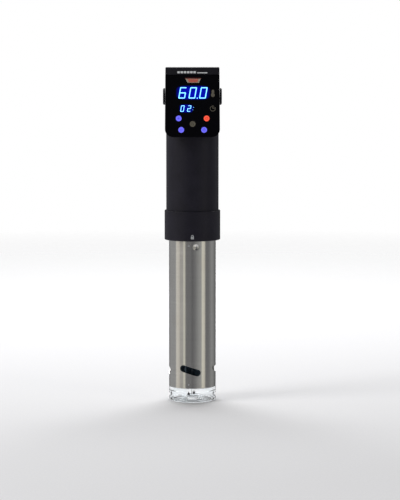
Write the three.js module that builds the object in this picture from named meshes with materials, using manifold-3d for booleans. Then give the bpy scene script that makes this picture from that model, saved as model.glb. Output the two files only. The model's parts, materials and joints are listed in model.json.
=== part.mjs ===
// A sous vide circulator, the stick that heats and stirs a water bath.
// Millimetres, +Z up. The display faces -Y and +X is to its viewer's right.
// The origin is on the tube's axis, in the bottom plane of the clear end cap.
import * as THREE from "three";
import { mergeVertices } from "three/addons/utils/BufferGeometryUtils.js";
import Module from "manifold-3d";

const wasm = await Module();
wasm.setup();

// ---- driving dimensions ----
const TOTAL_HEIGHT = 392;
const GAP = 0.3; // between neighbouring pieces
const CUT = 1; // how far a cutter runs past the face that it cuts
const ROUND = 40; // sides of a large circle
const MIDDLE_ROUND = 24; // sides of a wheel or flange
const SMALL_ROUND = 12; // sides of a small circle

// End cap
const CAP_HEIGHT = 16.5;
const CAP_WALL = 1.9;
const CAP_FLOOR = 2.4;
const CAP_HUB_RADIUS = 6;
const CAP_HUB_HEIGHT = 7;
const CAP_SPOKE_WIDTH = 5;
const CAP_SPIGOT_BOTTOM = 12;
const CAP_SPIGOT_TOP = 24;
const CAP_WINDOW = { width: 14, low: 3.8, high: 8.6 };
const CAP_INLET = { inner: 8, outer: 22.5 };

// Steel skirt
const SKIRT_RADIUS = 27.5;
const SKIRT_WALL = 0.8;
const SKIRT_TOP = 210.6;
const SLOT = { count: 4, z: 37.6, length: 25, width: 8, slant: -17, turn: -5.4 };
const DIMPLE = { count: 3, z: 182.7, radius: 4, depth: 1.6, turn: 9 };

// Locking collar and the spigot that carries the skirt
const COLLAR_RADIUS = 32.7;
const COLLAR_BOTTOM = 190;
const COLLAR_TOP = 224.6;
const COLLAR_STEP = 217.2;
const SPIGOT_RADIUS = 26.4;
const SPIGOT_BORE = 23.2;
const SPIGOT_BOTTOM = 179.5;
const RING_GROOVE = { low: 200.6, high: 204.2, radius: 24.9 };

// Heater, probes and the shaft's tube, hung from a steel flange
const FLANGE = { low: 175.8, high: 178.3, radius: 24.3 };
const COIL = { radius: 15.3, tube: 2.9, bottom: 58, pitch: 13, turns: 5, innerLeg: 8.8 };
const COIL_LEG_TOP = 185.5;
const PROBE_CIRCLE = 20.9;
const TEMPERATURE_PROBE = { turn: 69, radius: 1.8, bottom: 50 };
const LONG_LEVEL_PROBE = { turn: 189, radius: 1.5, bottom: 72 };
const SHORT_LEVEL_PROBE = { turn: 309, radius: 1.5, bottom: 138 };
const SHAFT_RADIUS = 2;
const SHAFT_BOTTOM = 33;
const SHAFT_TOP = 272;
const SHAFT_TUBE = { outer: 4.2, inner: 3.5, bottom: 50, top: 183.5 };
const BUSH_LENGTH = 7;

// Wheels on the shaft
const IMPELLER = { radius: 21, hub: 5, bottom: 28, top: 43, blades: 5, disc: 1.6, thickness: 1.6 };
const FAN = { radius: 17.5, hub: 5, bottom: 226.1, top: 231.1, blades: 5, disc: 0.8, thickness: 1.2 };

// Body tube and the knuckle that the head tilts on
const BODY_RADIUS = 30.75;
const BODY_WALL = 2.2;
const PIVOT_Z = 357.7;
const SHOULDER_Z = PIVOT_Z - 25;
const KNUCKLE_RADIUS = 31.3;
const KNUCKLE_HALF_WIDTH = 27.3;
const SHELL_SCREW = { x: 23, boss: 3.6, hole: 1.8, headSeat: 12, zs: [245, 320] };
const VENT = { count: 5, width: 2.4, height: 12, turnStep: 11, zs: [236, 316] };
const GLAND = { z: 290, hole: 6.3, bore: 3.6, flange: 8.5, end: 42 };

// Motor and power electronics
const BRACKET_Z = 233.6;
const BRACKET_THICKNESS = 2.5;
const MOTOR = { radius: 17, top: 282, nose: 6, bore: 2.4 };
const BOARD = { halfWidth: 18, front: 18.4, thickness: 1.6, low: 244, high: 324 };
const TRANSFORMER = { lowX: -16, highX: 4, depth: 17, low: 288, high: 309 };
const RELAY = { lowX: 6.5, highX: 17, depth: 14, low: 288, high: 307 };
const TERMINAL_BLOCK = { lowX: -5, highX: 4, depth: 9, low: 312, high: 322 };
const CAPACITOR = { x: -11, z: 317, radius: 4.5, length: 16 };
const HEAT_SINK = { lowX: 5.5, highX: 17, depth: 13, low: 310, high: 323 };
const FINS = { plate: 2.5, thickness: 1.4, pitch: 3.5 };

// Tilting head
const HEAD_HALF_WIDTH = 31.8;
const HEAD_FRONT = -40.5;
const HEAD_BACK = -32;
const HEAD_BOTTOM = 311.5;
const HEAD_CORNER = 9.5;
const PANEL_TOP = 383.2;
const PANEL_THICKNESS = 1.6;
const HOOD_THICKNESS = 2;
const HOOD_INNER = TOTAL_HEIGHT - PIVOT_Z - HOOD_THICKNESS;
const HOOD_END_ANGLE = 47;
const HOOD_BAND_BACK = -34.5;
const CHEEK_INNER = 28.6;
const CHEEK_RADIUS = 24;
const PIN_RADIUS = 4;
const PIVOT_CAP = { radius: 9.8, ridge: 0.6, ridges: 20, outerX: 34.4 };
const PANEL_CENTRE_X = 0.3;
const LARGE_DISPLAY = { width: 38, low: 354.4, high: 371.2 };
const SMALL_DISPLAY = { width: 34, low: 339.4, high: 350 };
const KEY_RADIUS = 3.8;
const KEYS = [
  { name: "key_light_guide_upper_left", x: -16.1, z: 333.3 },
  { name: "key_light_guide_upper_right", x: 16.1, z: 333.3 },
  { name: "key_light_guide_centre", x: 0, z: 326.9 },
  { name: "key_light_guide_lower_left", x: -13.2, z: 320.1 },
  { name: "key_light_guide_lower_right", x: 13.2, z: 320.1 },
];

// ---- materials ----
const finish = (color, roughness, metalness = 0, extra = {}) =>
  new THREE.MeshStandardMaterial({ color, roughness, metalness, ...extra });
const satinBlack = finish(0x1d1d21, 0.5);
const glossBlack = finish(0x050508, 0.08);
const steel = finish(0xb4b0a6, 0.25, 1);
const clearPlastic = finish(0xe8eef0, 0.05, 0, { transparent: true, opacity: 0.35 });
const blackRubber = finish(0x141414, 0.85);
const sealSilicone = finish(0x8c3b2c, 0.7);
const greyNylon = finish(0x2b3138, 0.55);
const bronze = finish(0x9a7440, 0.4, 1);
const zincPlate = finish(0x9a9ea3, 0.35, 1);
const boardGreen = finish(0x1f5a34, 0.5);
const componentDark = finish(0x20242a, 0.6);
const componentBlue = finish(0x1f3f8a, 0.5);
const coreYellow = finish(0xc9a53a, 0.6);
const aluminium = finish(0xb9bdc2, 0.4, 1);
const displayGlow = finish(0x0a1a8c, 0.3);
const keyWhite = finish(0xd9dcea, 0.4);

// ---- geometry helpers ----
const degrees = THREE.MathUtils.degToRad;

/** A closed mesh as a solid that can be joined and cut. */
function solid(geometry) {
  const bare = new THREE.BufferGeometry();
  bare.setAttribute("position", geometry.getAttribute("position"));
  bare.setIndex(geometry.getIndex());
  const merged = mergeVertices(bare, 1e-4);
  const index = merged.getIndex().array;
  const triangles = [];
  for (let i = 0; i < index.length; i += 3) {
    const [a, b, c] = index.slice(i, i + 3);
    if (a !== b && b !== c && c !== a) triangles.push(a, b, c);
  }
  return new wasm.Manifold(
    new wasm.Mesh({
      numProp: 3,
      vertProperties: new Float32Array(merged.getAttribute("position").array),
      triVerts: new Uint32Array(triangles),
    }),
  );
}

/** A solid as a geometry that a mesh can show. */
function geometryOf(manifold) {
  const mesh = manifold.getMesh();
  const geometry = new THREE.BufferGeometry();
  geometry.setAttribute("position", new THREE.BufferAttribute(mesh.vertProperties, 3));
  geometry.setIndex(new THREE.BufferAttribute(mesh.triVerts, 1));
  geometry.computeVertexNormals();
  return geometry;
}

const join = (...parts) => parts.reduce((whole, part) => whole.add(part));
const cut = (whole, ...cutters) => cutters.reduce((rest, cutter) => rest.subtract(cutter), whole);

/** A profile of [radius, z] points, turned about the Z axis. */
function turned(profile, sides = ROUND) {
  const points = profile.map(([radius, z]) => new THREE.Vector2(radius, z));
  return solid(new THREE.LatheGeometry(points, sides).rotateX(Math.PI / 2));
}

const cylinder = (radius, low, high, sides = ROUND) =>
  turned([[0, low], [radius, low], [radius, high], [0, high]], sides);

const tube = (outer, inner, low, high, sides = ROUND) =>
  turned([[inner, low], [outer, low], [outer, high], [inner, high], [inner, low]], sides);

function block(lowX, highX, lowY, highY, lowZ, highZ) {
  const box = new THREE.BoxGeometry(highX - lowX, highY - lowY, highZ - lowZ);
  return solid(box.translate((lowX + highX) / 2, (lowY + highY) / 2, (lowZ + highZ) / 2));
}

/** An outline in (y, z), extruded from x = low to x = high. */
function prismX(shape, low, high, curveSegments = 12) {
  const geometry = new THREE.ExtrudeGeometry(shape, {
    depth: high - low,
    bevelEnabled: false,
    curveSegments,
  });
  const axes = new THREE.Matrix4().makeBasis(
    new THREE.Vector3(0, 1, 0),
    new THREE.Vector3(0, 0, 1),
    new THREE.Vector3(1, 0, 0),
  );
  return solid(geometry.applyMatrix4(axes).translate(low, 0, 0));
}

/** An outline in (x, z), extruded from y = low to y = high. */
function prismY(shape, low, high, curveSegments = 8) {
  const geometry = new THREE.ExtrudeGeometry(shape, {
    depth: high - low,
    bevelEnabled: false,
    curveSegments,
  });
  return solid(geometry.rotateX(Math.PI / 2).translate(0, high, 0));
}

/** An outline in (x, y), extruded from z = low to z = high. */
function prismZ(shape, low, high, curveSegments = 4) {
  const options = { depth: high - low, bevelEnabled: false, curveSegments };
  return solid(new THREE.ExtrudeGeometry(shape, options).translate(0, 0, low));
}

function polygon(points) {
  return new THREE.Shape(points.map(([u, v]) => new THREE.Vector2(u, v)));
}

/** A disc's outline, or a slice of one, about (u, v). */
function pie(u, v, radius, from, to) {
  const shape = new THREE.Shape();
  shape.moveTo(u, v);
  shape.absarc(u, v, radius, degrees(from), degrees(to), false);
  return shape;
}

/** A bar with round ends, centred on (u, v) and turned by slant degrees. */
function obround(u, v, length, width, slant = 0) {
  const shape = new THREE.Shape();
  const reach = (length - width) / 2;
  const angle = degrees(slant);
  const du = Math.cos(angle) * reach;
  const dv = Math.sin(angle) * reach;
  shape.absarc(u + du, v + dv, width / 2, angle - Math.PI / 2, angle + Math.PI / 2, false);
  shape.absarc(u - du, v - dv, width / 2, angle + Math.PI / 2, angle + 1.5 * Math.PI, false);
  return shape;
}

const crosswiseX = (manifold) => manifold.rotate([0, 90, 0]).translate([0, 0, PIVOT_Z]);
const mirroredX = (manifold) => manifold.mirror([1, 0, 0]);
const onCircle = (radius, turn) => [radius * Math.sin(degrees(turn)), -radius * Math.cos(degrees(turn))];

const circulator = new THREE.Group();

function addMesh(parent, name, geometry, material) {
  const mesh = new THREE.Mesh(geometry, material);
  mesh.name = name;
  parent.add(mesh);
  return mesh;
}

const addSolid = (parent, name, manifold, material) =>
  addMesh(parent, name, geometryOf(manifold), material);

// ---- end cap ----
/** Clear cup with an open floor between four spokes, and a window above each opening. */
function endCap() {
  const bore = SKIRT_RADIUS - CAP_WALL;
  const top = CAP_HEIGHT - GAP;
  const chamfer = 0.8;
  const wall = turned([
    [bore, 0],
    [SKIRT_RADIUS - chamfer, 0],
    [SKIRT_RADIUS, chamfer],
    [SKIRT_RADIUS, top],
    [bore, top],
    [bore, 0],
  ]);
  const spigotRadius = SKIRT_RADIUS - SKIRT_WALL - 2 * GAP;
  const spigot = tube(spigotRadius, spigotRadius - CAP_WALL, CAP_SPIGOT_BOTTOM, CAP_SPIGOT_TOP);
  const floor = cylinder(bore + CAP_WALL / 2, 0, CAP_FLOOR);
  const hub = cylinder(CAP_HUB_RADIUS, 0, CAP_HUB_HEIGHT, SMALL_ROUND);
  const spokeHalf = CAP_SPOKE_WIDTH / 2;
  const spoke = block(-SKIRT_RADIUS, SKIRT_RADIUS, -spokeHalf, spokeHalf, -CUT, CAP_FLOOR + CUT);
  const inlet = cut(
    tube(CAP_INLET.outer, CAP_INLET.inner, -CUT, CAP_FLOOR + CUT),
    spoke.rotate([0, 0, 45]),
    spoke.rotate([0, 0, -45]),
  );
  const half = CAP_WINDOW.width / 2;
  const reach = SKIRT_RADIUS + CUT;
  const windowsX = block(-reach, reach, -half, half, CAP_WINDOW.low, CAP_WINDOW.high);
  return cut(join(wall, spigot, floor), inlet, windowsX, windowsX.rotate([0, 0, 90])).add(hub);
}

// ---- steel skirt ----
/** Thin tube with four slanted slots low down and three inward dimples that lock it. */
function steelSkirt() {
  const inner = SKIRT_RADIUS - SKIRT_WALL;
  let skirt = tube(SKIRT_RADIUS, inner, CAP_HEIGHT, SKIRT_TOP);
  const outline = obround(0, SLOT.z, SLOT.length, SLOT.width, SLOT.slant);
  const slot = prismY(outline, -SKIRT_RADIUS - CUT, -SKIRT_RADIUS * 0.7);
  for (let i = 0; i < SLOT.count; i += 1) {
    skirt = skirt.subtract(slot.rotate([0, 0, SLOT.turn + (i * 360) / SLOT.count]));
  }
  const bump = cylinder(DIMPLE.radius, inner - DIMPLE.depth, inner + SKIRT_WALL / 2, SMALL_ROUND);
  const hollowRadius = DIMPLE.radius - SKIRT_WALL;
  const hollowFloor = inner - DIMPLE.depth + SKIRT_WALL;
  const hollow = cylinder(hollowRadius, hollowFloor, SKIRT_RADIUS + CUT, SMALL_ROUND);
  for (let i = 0; i < DIMPLE.count; i += 1) {
    const turn = [0, 0, DIMPLE.turn + (i * 360) / DIMPLE.count];
    const place = (part) => part.rotate([90, 0, 0]).translate([0, 0, DIMPLE.z]).rotate(turn);
    skirt = skirt.add(place(bump)).subtract(place(hollow));
  }
  return skirt;
}

// ---- collar and spigot ----
/** Ring whose lower bore takes the skirt and whose upper bore takes the spigot's rim. */
function lockCollar() {
  const skirtBore = SKIRT_RADIUS + GAP;
  const rimBore = BODY_RADIUS + 2 * GAP;
  const edge = 1;
  return turned([
    [skirtBore, COLLAR_BOTTOM],
    [COLLAR_RADIUS - edge, COLLAR_BOTTOM],
    [COLLAR_RADIUS, COLLAR_BOTTOM + edge],
    [COLLAR_RADIUS, COLLAR_TOP - edge],
    [COLLAR_RADIUS - edge, COLLAR_TOP],
    [rimBore, COLLAR_TOP],
    [rimBore, COLLAR_STEP],
    [skirtBore, COLLAR_STEP],
    [skirtBore, COLLAR_BOTTOM],
  ]);
}

/** Tube that the skirt slides over, grooved for its seal ring and for the skirt's dimples. */
function skirtSpigot() {
  const rimTop = COLLAR_TOP - GAP;
  const spigot = turned([
    [SPIGOT_BORE, SPIGOT_BOTTOM],
    [SPIGOT_RADIUS, SPIGOT_BOTTOM],
    [SPIGOT_RADIUS, RING_GROOVE.low],
    [RING_GROOVE.radius, RING_GROOVE.low],
    [RING_GROOVE.radius, RING_GROOVE.high],
    [SPIGOT_RADIUS, RING_GROOVE.high],
    [SPIGOT_RADIUS, COLLAR_STEP + GAP],
    [BODY_RADIUS, COLLAR_STEP + GAP],
    [BODY_RADIUS, rimTop],
    [SPIGOT_BORE, rimTop],
    [SPIGOT_BORE, SPIGOT_BOTTOM],
  ]);
  const clearance = 1.2;
  const halfWidth = DIMPLE.radius + clearance;
  const grooveRadius = SKIRT_RADIUS - SKIRT_WALL - DIMPLE.depth - 2 * GAP;
  const grooveTop = DIMPLE.z + DIMPLE.radius + clearance;
  const groove = block(-halfWidth, halfWidth, -SKIRT_RADIUS, -grooveRadius, SPIGOT_BOTTOM - CUT, grooveTop);
  let grooved = spigot;
  for (let i = 0; i < DIMPLE.count; i += 1) {
    grooved = grooved.subtract(groove.rotate([0, 0, DIMPLE.turn + (i * 360) / DIMPLE.count]));
  }
  return grooved;
}

function spigotSealRing() {
  const middle = (RING_GROOVE.low + RING_GROOVE.high) / 2;
  const outer = SPIGOT_RADIUS + GAP / 2;
  const inner = RING_GROOVE.radius + GAP;
  const half = (outer - inner) / 2 + GAP / 2;
  return turned([
    [inner, middle],
    [(inner + outer) / 2, middle - half],
    [outer, middle],
    [(inner + outer) / 2, middle + half],
    [inner, middle],
  ]);
}

// ---- heater, probes and shaft tube ----
const coilStartTurn = 0;
const coilEndTurn = 360 * COIL.turns;
const upperLegTurn = coilEndTurn + 44;
const innerLegTurn = coilStartTurn - 76;

/** The heater's centreline: down the inner leg, up the helix, then up the outer leg. */
function coilPath() {
  const at = (radius, turn, z) => new THREE.Vector3(...onCircle(radius, turn), z);
  const points = [
    at(COIL.innerLeg, innerLegTurn, COIL_LEG_TOP),
    at(COIL.innerLeg, innerLegTurn, COIL.bottom + 4 * COIL.pitch),
    at(COIL.innerLeg, innerLegTurn, COIL.bottom + COIL.pitch),
    at(COIL.innerLeg + 1, innerLegTurn + 14, COIL.bottom + 3),
    at(COIL.radius - 2, innerLegTurn + 44, COIL.bottom - 1),
  ];
  const stepsPerTurn = 12;
  for (let i = 0; i <= stepsPerTurn * COIL.turns; i += 1) {
    const turn = (i * 360) / stepsPerTurn;
    points.push(at(COIL.radius, turn, COIL.bottom + (COIL.pitch * turn) / 360));
  }
  const coilTop = COIL.bottom + COIL.pitch * COIL.turns;
  points.push(
    at(COIL.radius, coilEndTurn + 27, coilTop + 3),
    at(COIL.radius, upperLegTurn, coilTop + 10),
    at(COIL.radius, upperLegTurn, coilTop + 20),
    at(COIL.radius, upperLegTurn, COIL_LEG_TOP),
  );
  return new THREE.CatmullRomCurve3(points, false, "centripetal");
}

function heaterCoil() {
  const sides = 6;
  const steps = 120;
  const section = [];
  for (let i = 0; i < sides; i += 1) {
    const angle = (i * 2 * Math.PI) / sides;
    section.push([COIL.tube * Math.cos(angle), COIL.tube * Math.sin(angle)]);
  }
  return new THREE.ExtrudeGeometry(polygon(section), {
    steps,
    bevelEnabled: false,
    extrudePath: coilPath(),
  });
}

/** Rod with a rounded lower tip, standing on the probe circle. */
function probe({ radius, bottom, turn }) {
  const tip = radius * 0.4;
  const rod = turned(
    [[0, bottom], [tip, bottom], [radius, bottom + radius], [radius, COIL_LEG_TOP], [0, COIL_LEG_TOP]],
    SMALL_ROUND,
  );
  return rod.translate([...onCircle(PROBE_CIRCLE, turn), 0]);
}

/** Steel disc that the heater, probes and shaft tube pass through. */
function heaterFlange() {
  const hole = (radius, circle, turn) =>
    cylinder(radius + GAP, FLANGE.low - CUT, FLANGE.high + CUT, SMALL_ROUND)
      .translate([...onCircle(circle, turn), 0]);
  return cut(
    cylinder(FLANGE.radius, FLANGE.low, FLANGE.high),
    hole(SHAFT_TUBE.outer, 0, 0),
    hole(COIL.tube, COIL.innerLeg, innerLegTurn),
    hole(COIL.tube, COIL.radius, upperLegTurn),
    ...[TEMPERATURE_PROBE, LONG_LEVEL_PROBE, SHORT_LEVEL_PROBE].map((rod) =>
      hole(rod.radius, PROBE_CIRCLE, rod.turn),
    ),
  );
}

const flangeGasket = () =>
  tube(FLANGE.radius, SPIGOT_BORE, FLANGE.high + GAP, SPIGOT_BOTTOM - GAP);

const shaftTube = () =>
  tube(SHAFT_TUBE.outer, SHAFT_TUBE.inner, SHAFT_TUBE.bottom, SHAFT_TUBE.top, SMALL_ROUND);

function shaftBush(bottom) {
  const runningGap = 0.15;
  return tube(SHAFT_TUBE.inner - GAP, SHAFT_RADIUS + runningGap, bottom, bottom + BUSH_LENGTH, SMALL_ROUND);
}

/** Lip seal on the shaft, just above its tube. */
function shaftSeal() {
  const low = SHAFT_TUBE.top + GAP;
  const height = 4.5;
  return tube(COIL.innerLeg - COIL.tube - GAP, SHAFT_RADIUS + GAP / 2, low, low + height, SMALL_ROUND);
}

// ---- rotor ----
const driveShaft = () => cylinder(SHAFT_RADIUS, SHAFT_BOTTOM, SHAFT_TOP, SMALL_ROUND);

/** A wheel of swept blades on a disc, with a bore that is blind at its lower end when asked. */
function bladedWheel(wheel, blindBelow) {
  const sweep = wheel.radius * 0.75;
  const blade = new THREE.Shape();
  const arcEnd = 2 * Math.asin((wheel.radius - wheel.hub * 0.6) / (2 * sweep));
  blade.absarc(0, sweep, sweep + wheel.thickness / 2, -Math.PI / 2, -Math.PI / 2 + arcEnd, false);
  blade.absarc(0, sweep, sweep - wheel.thickness / 2, -Math.PI / 2 + arcEnd, -Math.PI / 2, true);
  const oneBlade = prismZ(blade, wheel.bottom, wheel.top).translate([wheel.hub * 0.6, 0, 0]);
  let whole = join(
    cylinder(wheel.hub, wheel.bottom, wheel.top, SMALL_ROUND),
    cylinder(wheel.radius * 0.92, wheel.bottom, wheel.bottom + wheel.disc, MIDDLE_ROUND),
  );
  for (let i = 0; i < wheel.blades; i += 1) {
    whole = whole.add(oneBlade.rotate([0, 0, (i * 360) / wheel.blades]));
  }
  const boreLow = blindBelow ?? wheel.bottom - CUT;
  const bore = cylinder(SHAFT_RADIUS + GAP, boreLow, wheel.top + CUT, SMALL_ROUND);
  return whole.subtract(bore);
}

// ---- body shells ----
/** The body's outside, or its inside when shrunk: a tube, a shoulder and a domed knuckle. */
function bodyForm(shrink, bottom) {
  const radius = BODY_RADIUS - shrink;
  const knuckle = KNUCKLE_RADIUS - shrink;
  const halfWidth = KNUCKLE_HALF_WIDTH - shrink;
  const shoulder = SHOULDER_Z - shrink;
  const profile = new THREE.Shape();
  profile.moveTo(knuckle, shoulder - CUT);
  profile.lineTo(knuckle, PIVOT_Z);
  profile.absarc(0, PIVOT_Z, knuckle, 0, Math.PI, false);
  profile.lineTo(-knuckle, shoulder - CUT);
  const dome = prismX(profile, -halfWidth, halfWidth);
  const column = cylinder(radius, bottom, TOTAL_HEIGHT);
  return join(cylinder(radius, bottom, shoulder), dome.intersect(column));
}

/** Rows of upright air slots across the back, one row at each vent height. */
function ventCutters() {
  const [halfWidth, halfHeight] = [VENT.width / 2, VENT.height / 2];
  const slot = block(
    -halfWidth,
    halfWidth,
    BODY_RADIUS - 2 * BODY_WALL,
    BODY_RADIUS + CUT,
    -halfHeight,
    halfHeight,
  );
  const cutters = [];
  for (const z of VENT.zs) {
    for (let i = 0; i < VENT.count; i += 1) {
      const turn = (i - (VENT.count - 1) / 2) * VENT.turnStep;
      cutters.push(slot.translate([0, 0, z]).rotate([0, 0, turn]));
    }
  }
  return cutters;
}

const alongY = (radius, low, high) =>
  cylinder(radius, -high, -low, SMALL_ROUND).rotate([90, 0, 0]);

function screwPlaces() {
  return SHELL_SCREW.zs.flatMap((z) => [-SHELL_SCREW.x, SHELL_SCREW.x].map((x) => [x, 0, z]));
}

/** One half of the body, with its screw bosses: side -1 is the front and +1 the back. */
function bodyShell(side) {
  const bottom = COLLAR_TOP;
  const reach = BODY_RADIUS + CUT;
  const half = block(-reach, reach, ...(side < 0 ? [-reach, -GAP / 2] : [GAP / 2, reach]), 0, TOTAL_HEIGHT);
  const outside = bodyForm(0, bottom);
  let shell = outside.subtract(bodyForm(BODY_WALL, bottom - CUT));
  const boss = alongY(SHELL_SCREW.boss, -BODY_RADIUS, BODY_RADIUS);
  for (const place of screwPlaces()) {
    shell = shell.add(boss.translate(place).intersect(outside));
  }
  shell = shell.subtract(crosswiseX(cylinder(PIN_RADIUS + GAP, -BODY_RADIUS, BODY_RADIUS, SMALL_ROUND)));
  const pilotDepth = SHELL_SCREW.headSeat;
  const pilot = alongY(SHELL_SCREW.hole, -pilotDepth, BODY_RADIUS);
  const headRecess = alongY(SHELL_SCREW.hole * 1.8, SHELL_SCREW.headSeat, BODY_RADIUS);
  for (const place of screwPlaces()) {
    shell = shell.subtract(pilot.translate(place)).subtract(headRecess.translate(place));
  }
  if (side > 0) {
    const glandHole = alongY(GLAND.hole, 0, BODY_RADIUS + CUT).translate([0, 0, GLAND.z]);
    shell = cut(shell, ...ventCutters(), glandHole);
  }
  return shell.intersect(half);
}

/** Countersunk-depth machine screw along Y, its head at the back. */
function shellScrew() {
  const radius = 1.5;
  const headRadius = 2.8;
  const headHeight = 2.2;
  const seat = SHELL_SCREW.headSeat + GAP;
  const tip = -SHELL_SCREW.headSeat + 2;
  return turned(
    [
      [0, -seat - headHeight],
      [headRadius, -seat - headHeight],
      [headRadius, -seat],
      [radius, -seat],
      [radius, -tip],
      [0, -tip],
    ],
    10,
  ).rotate([90, 0, 0]);
}

/** Rubber bush that the mains cord leaves through, with an open bore. */
function cordInletGland() {
  const inside = BODY_RADIUS - BODY_WALL - 3;
  const outside = BODY_RADIUS + GAP;
  const flangeEnd = outside + 2.5;
  const noseEnd = GLAND.end;
  const sleeve = GLAND.hole - GAP;
  const nose = sleeve - 0.6;
  return turned(
    [
      [GLAND.bore, -noseEnd],
      [nose, -noseEnd],
      [sleeve, -flangeEnd],
      [GLAND.flange, -flangeEnd],
      [GLAND.flange, -outside],
      [sleeve, -outside],
      [sleeve, -inside],
      [GLAND.bore, -inside],
      [GLAND.bore, -noseEnd],
    ],
    MIDDLE_ROUND,
  )
    .rotate([90, 0, 0])
    .translate([0, 0, GLAND.z]);
}

// ---- motor and electronics ----
function motorBracket() {
  const legCircle = 22;
  const legRadius = 3;
  const plateRadius = BODY_RADIUS - BODY_WALL - 2 * GAP;
  const plate = tube(plateRadius, MOTOR.nose + GAP, BRACKET_Z, BRACKET_Z + BRACKET_THICKNESS);
  const leg = cylinder(legRadius, COLLAR_TOP, BRACKET_Z + CUT, SMALL_ROUND).translate([0, -legCircle, 0]);
  return join(plate, leg, leg.rotate([0, 0, 120]), leg.rotate([0, 0, 240]));
}

/** Motor with a nose that passes its bracket, and a bore for the shaft, open below. */
function motorCan() {
  const seat = BRACKET_Z + BRACKET_THICKNESS + GAP;
  const noseBottom = FAN.top + 2 * GAP;
  const edge = 2;
  return turned(
    [
      [MOTOR.bore, noseBottom],
      [MOTOR.nose, noseBottom],
      [MOTOR.nose, seat],
      [MOTOR.radius, seat],
      [MOTOR.radius, MOTOR.top - edge],
      [MOTOR.radius - edge, MOTOR.top],
      [0, MOTOR.top],
      [0, SHAFT_TOP + edge],
      [MOTOR.bore, SHAFT_TOP + edge],
      [MOTOR.bore, noseBottom],
    ],
    MIDDLE_ROUND,
  );
}

const powerBoard = () =>
  block(-BOARD.halfWidth, BOARD.halfWidth, BOARD.front, BOARD.front + BOARD.thickness, BOARD.low, BOARD.high);

/** A boxy component on the board's front face. */
function boardBlock({ lowX, highX, depth, low, high }) {
  const back = BOARD.front - GAP;
  return block(lowX, highX, back - depth, back, low, high);
}

/** Fins that stand off a plate on the board. */
function heatSink() {
  const { lowX, highX, depth, low, high } = HEAT_SINK;
  const back = BOARD.front - GAP;
  let sink = block(lowX, highX, back - FINS.plate, back, low, high);
  for (let x = lowX; x < highX; x += FINS.pitch) {
    const finEnd = Math.min(x + FINS.thickness, highX);
    sink = sink.add(block(x, finEnd, back - depth, back - FINS.plate / 2, low, high));
  }
  return sink;
}

function capacitor() {
  const { x, z, radius, length } = CAPACITOR;
  const back = BOARD.front - GAP;
  return alongY(radius, back - length, back).translate([x, 0, z]);
}

// ---- head ----
/** The head's outline in (x, z): square at the top, rounded at the bottom corners. */
function headOutline(inset, top) {
  const half = HEAD_HALF_WIDTH - inset;
  const bottom = HEAD_BOTTOM + inset;
  const corner = HEAD_CORNER - inset;
  const shape = new THREE.Shape();
  shape.moveTo(half, top);
  shape.lineTo(-half, top);
  shape.lineTo(-half, bottom + corner);
  shape.absarc(-half + corner, bottom + corner, corner, Math.PI, 1.5 * Math.PI, false);
  shape.absarc(half - corner, bottom + corner, corner, 1.5 * Math.PI, 2 * Math.PI, false);
  return shape;
}

/** Tray behind the panel, and the two cheeks that turn on the pivot pins. */
function headHousing() {
  const rim = 2;
  const trayFront = HEAD_FRONT + PANEL_THICKNESS + GAP;
  const trayFloor = HEAD_BACK - rim;
  const tray = prismY(headOutline(0, PANEL_TOP), trayFront, HEAD_BACK);
  const pocket = prismY(headOutline(rim, PANEL_TOP - rim), trayFront - CUT, trayFloor);
  const hoodSide = pie(0, PIVOT_Z, HOOD_INNER - 2 * GAP, HOOD_END_ANGLE, 180);
  const front = polygon([
    [trayFloor, PIVOT_Z - 15],
    [-5, PIVOT_Z - 15],
    [-5, PANEL_TOP],
    [trayFloor, PANEL_TOP],
  ]);
  const corner = polygon([
    [HEAD_BACK + 2 * GAP, PANEL_TOP - 2],
    [0, PANEL_TOP - 2],
    [0, PIVOT_Z + HOOD_INNER - GAP],
    [HEAD_BACK + 2 * GAP, PIVOT_Z + HOOD_INNER - GAP],
  ]);
  const disc = crosswiseX(cylinder(CHEEK_RADIUS, CHEEK_INNER, HEAD_HALF_WIDTH, ROUND));
  const plate = (shape) => prismX(shape, CHEEK_INNER, HEAD_HALF_WIDTH, 10);
  const bore = crosswiseX(cylinder(PIN_RADIUS + GAP, CHEEK_INNER - CUT, HEAD_HALF_WIDTH + CUT, SMALL_ROUND));
  const cheek = cut(join(disc, plate(hoodSide), plate(front), plate(corner)), bore);
  return join(cut(tray, pocket), cheek, mirroredX(cheek));
}

/** Sloping brow above the panel, flat top, and an arc that follows the knuckle backwards. */
function headHood() {
  const outer = HOOD_INNER + HOOD_THICKNESS;
  const end = degrees(HOOD_END_ANGLE);
  const profile = new THREE.Shape();
  profile.moveTo(HEAD_FRONT, PANEL_TOP + GAP);
  profile.lineTo(HEAD_BACK + GAP, PANEL_TOP + GAP);
  profile.lineTo(HEAD_BACK + GAP, PIVOT_Z + HOOD_INNER);
  profile.lineTo(0, PIVOT_Z + HOOD_INNER);
  profile.absarc(0, PIVOT_Z, HOOD_INNER, Math.PI / 2, end, true);
  profile.absarc(0, PIVOT_Z, outer, end, Math.PI / 2, false);
  profile.lineTo(HOOD_BAND_BACK, PIVOT_Z + outer);
  return prismX(profile, -HEAD_HALF_WIDTH, HEAD_HALF_WIDTH, 10);
}

const frontPanel = () =>
  prismY(headOutline(0, PANEL_TOP), HEAD_FRONT, HEAD_FRONT + PANEL_THICKNESS, 10);

const displayBack = HEAD_FRONT + PANEL_THICKNESS + 9 * GAP;

function displayBoard() {
  const halfWidth = HEAD_HALF_WIDTH - 5.3;
  const margin = 4;
  const front = displayBack + GAP;
  const thickness = 1.4;
  return block(-halfWidth, halfWidth, front, front + thickness, HEAD_BOTTOM + margin, PANEL_TOP - margin);
}

function ledDisplay({ width, low, high }) {
  const front = HEAD_FRONT + PANEL_THICKNESS + GAP;
  return block(PANEL_CENTRE_X - width / 2, PANEL_CENTRE_X + width / 2, front, displayBack, low, high);
}

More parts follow.
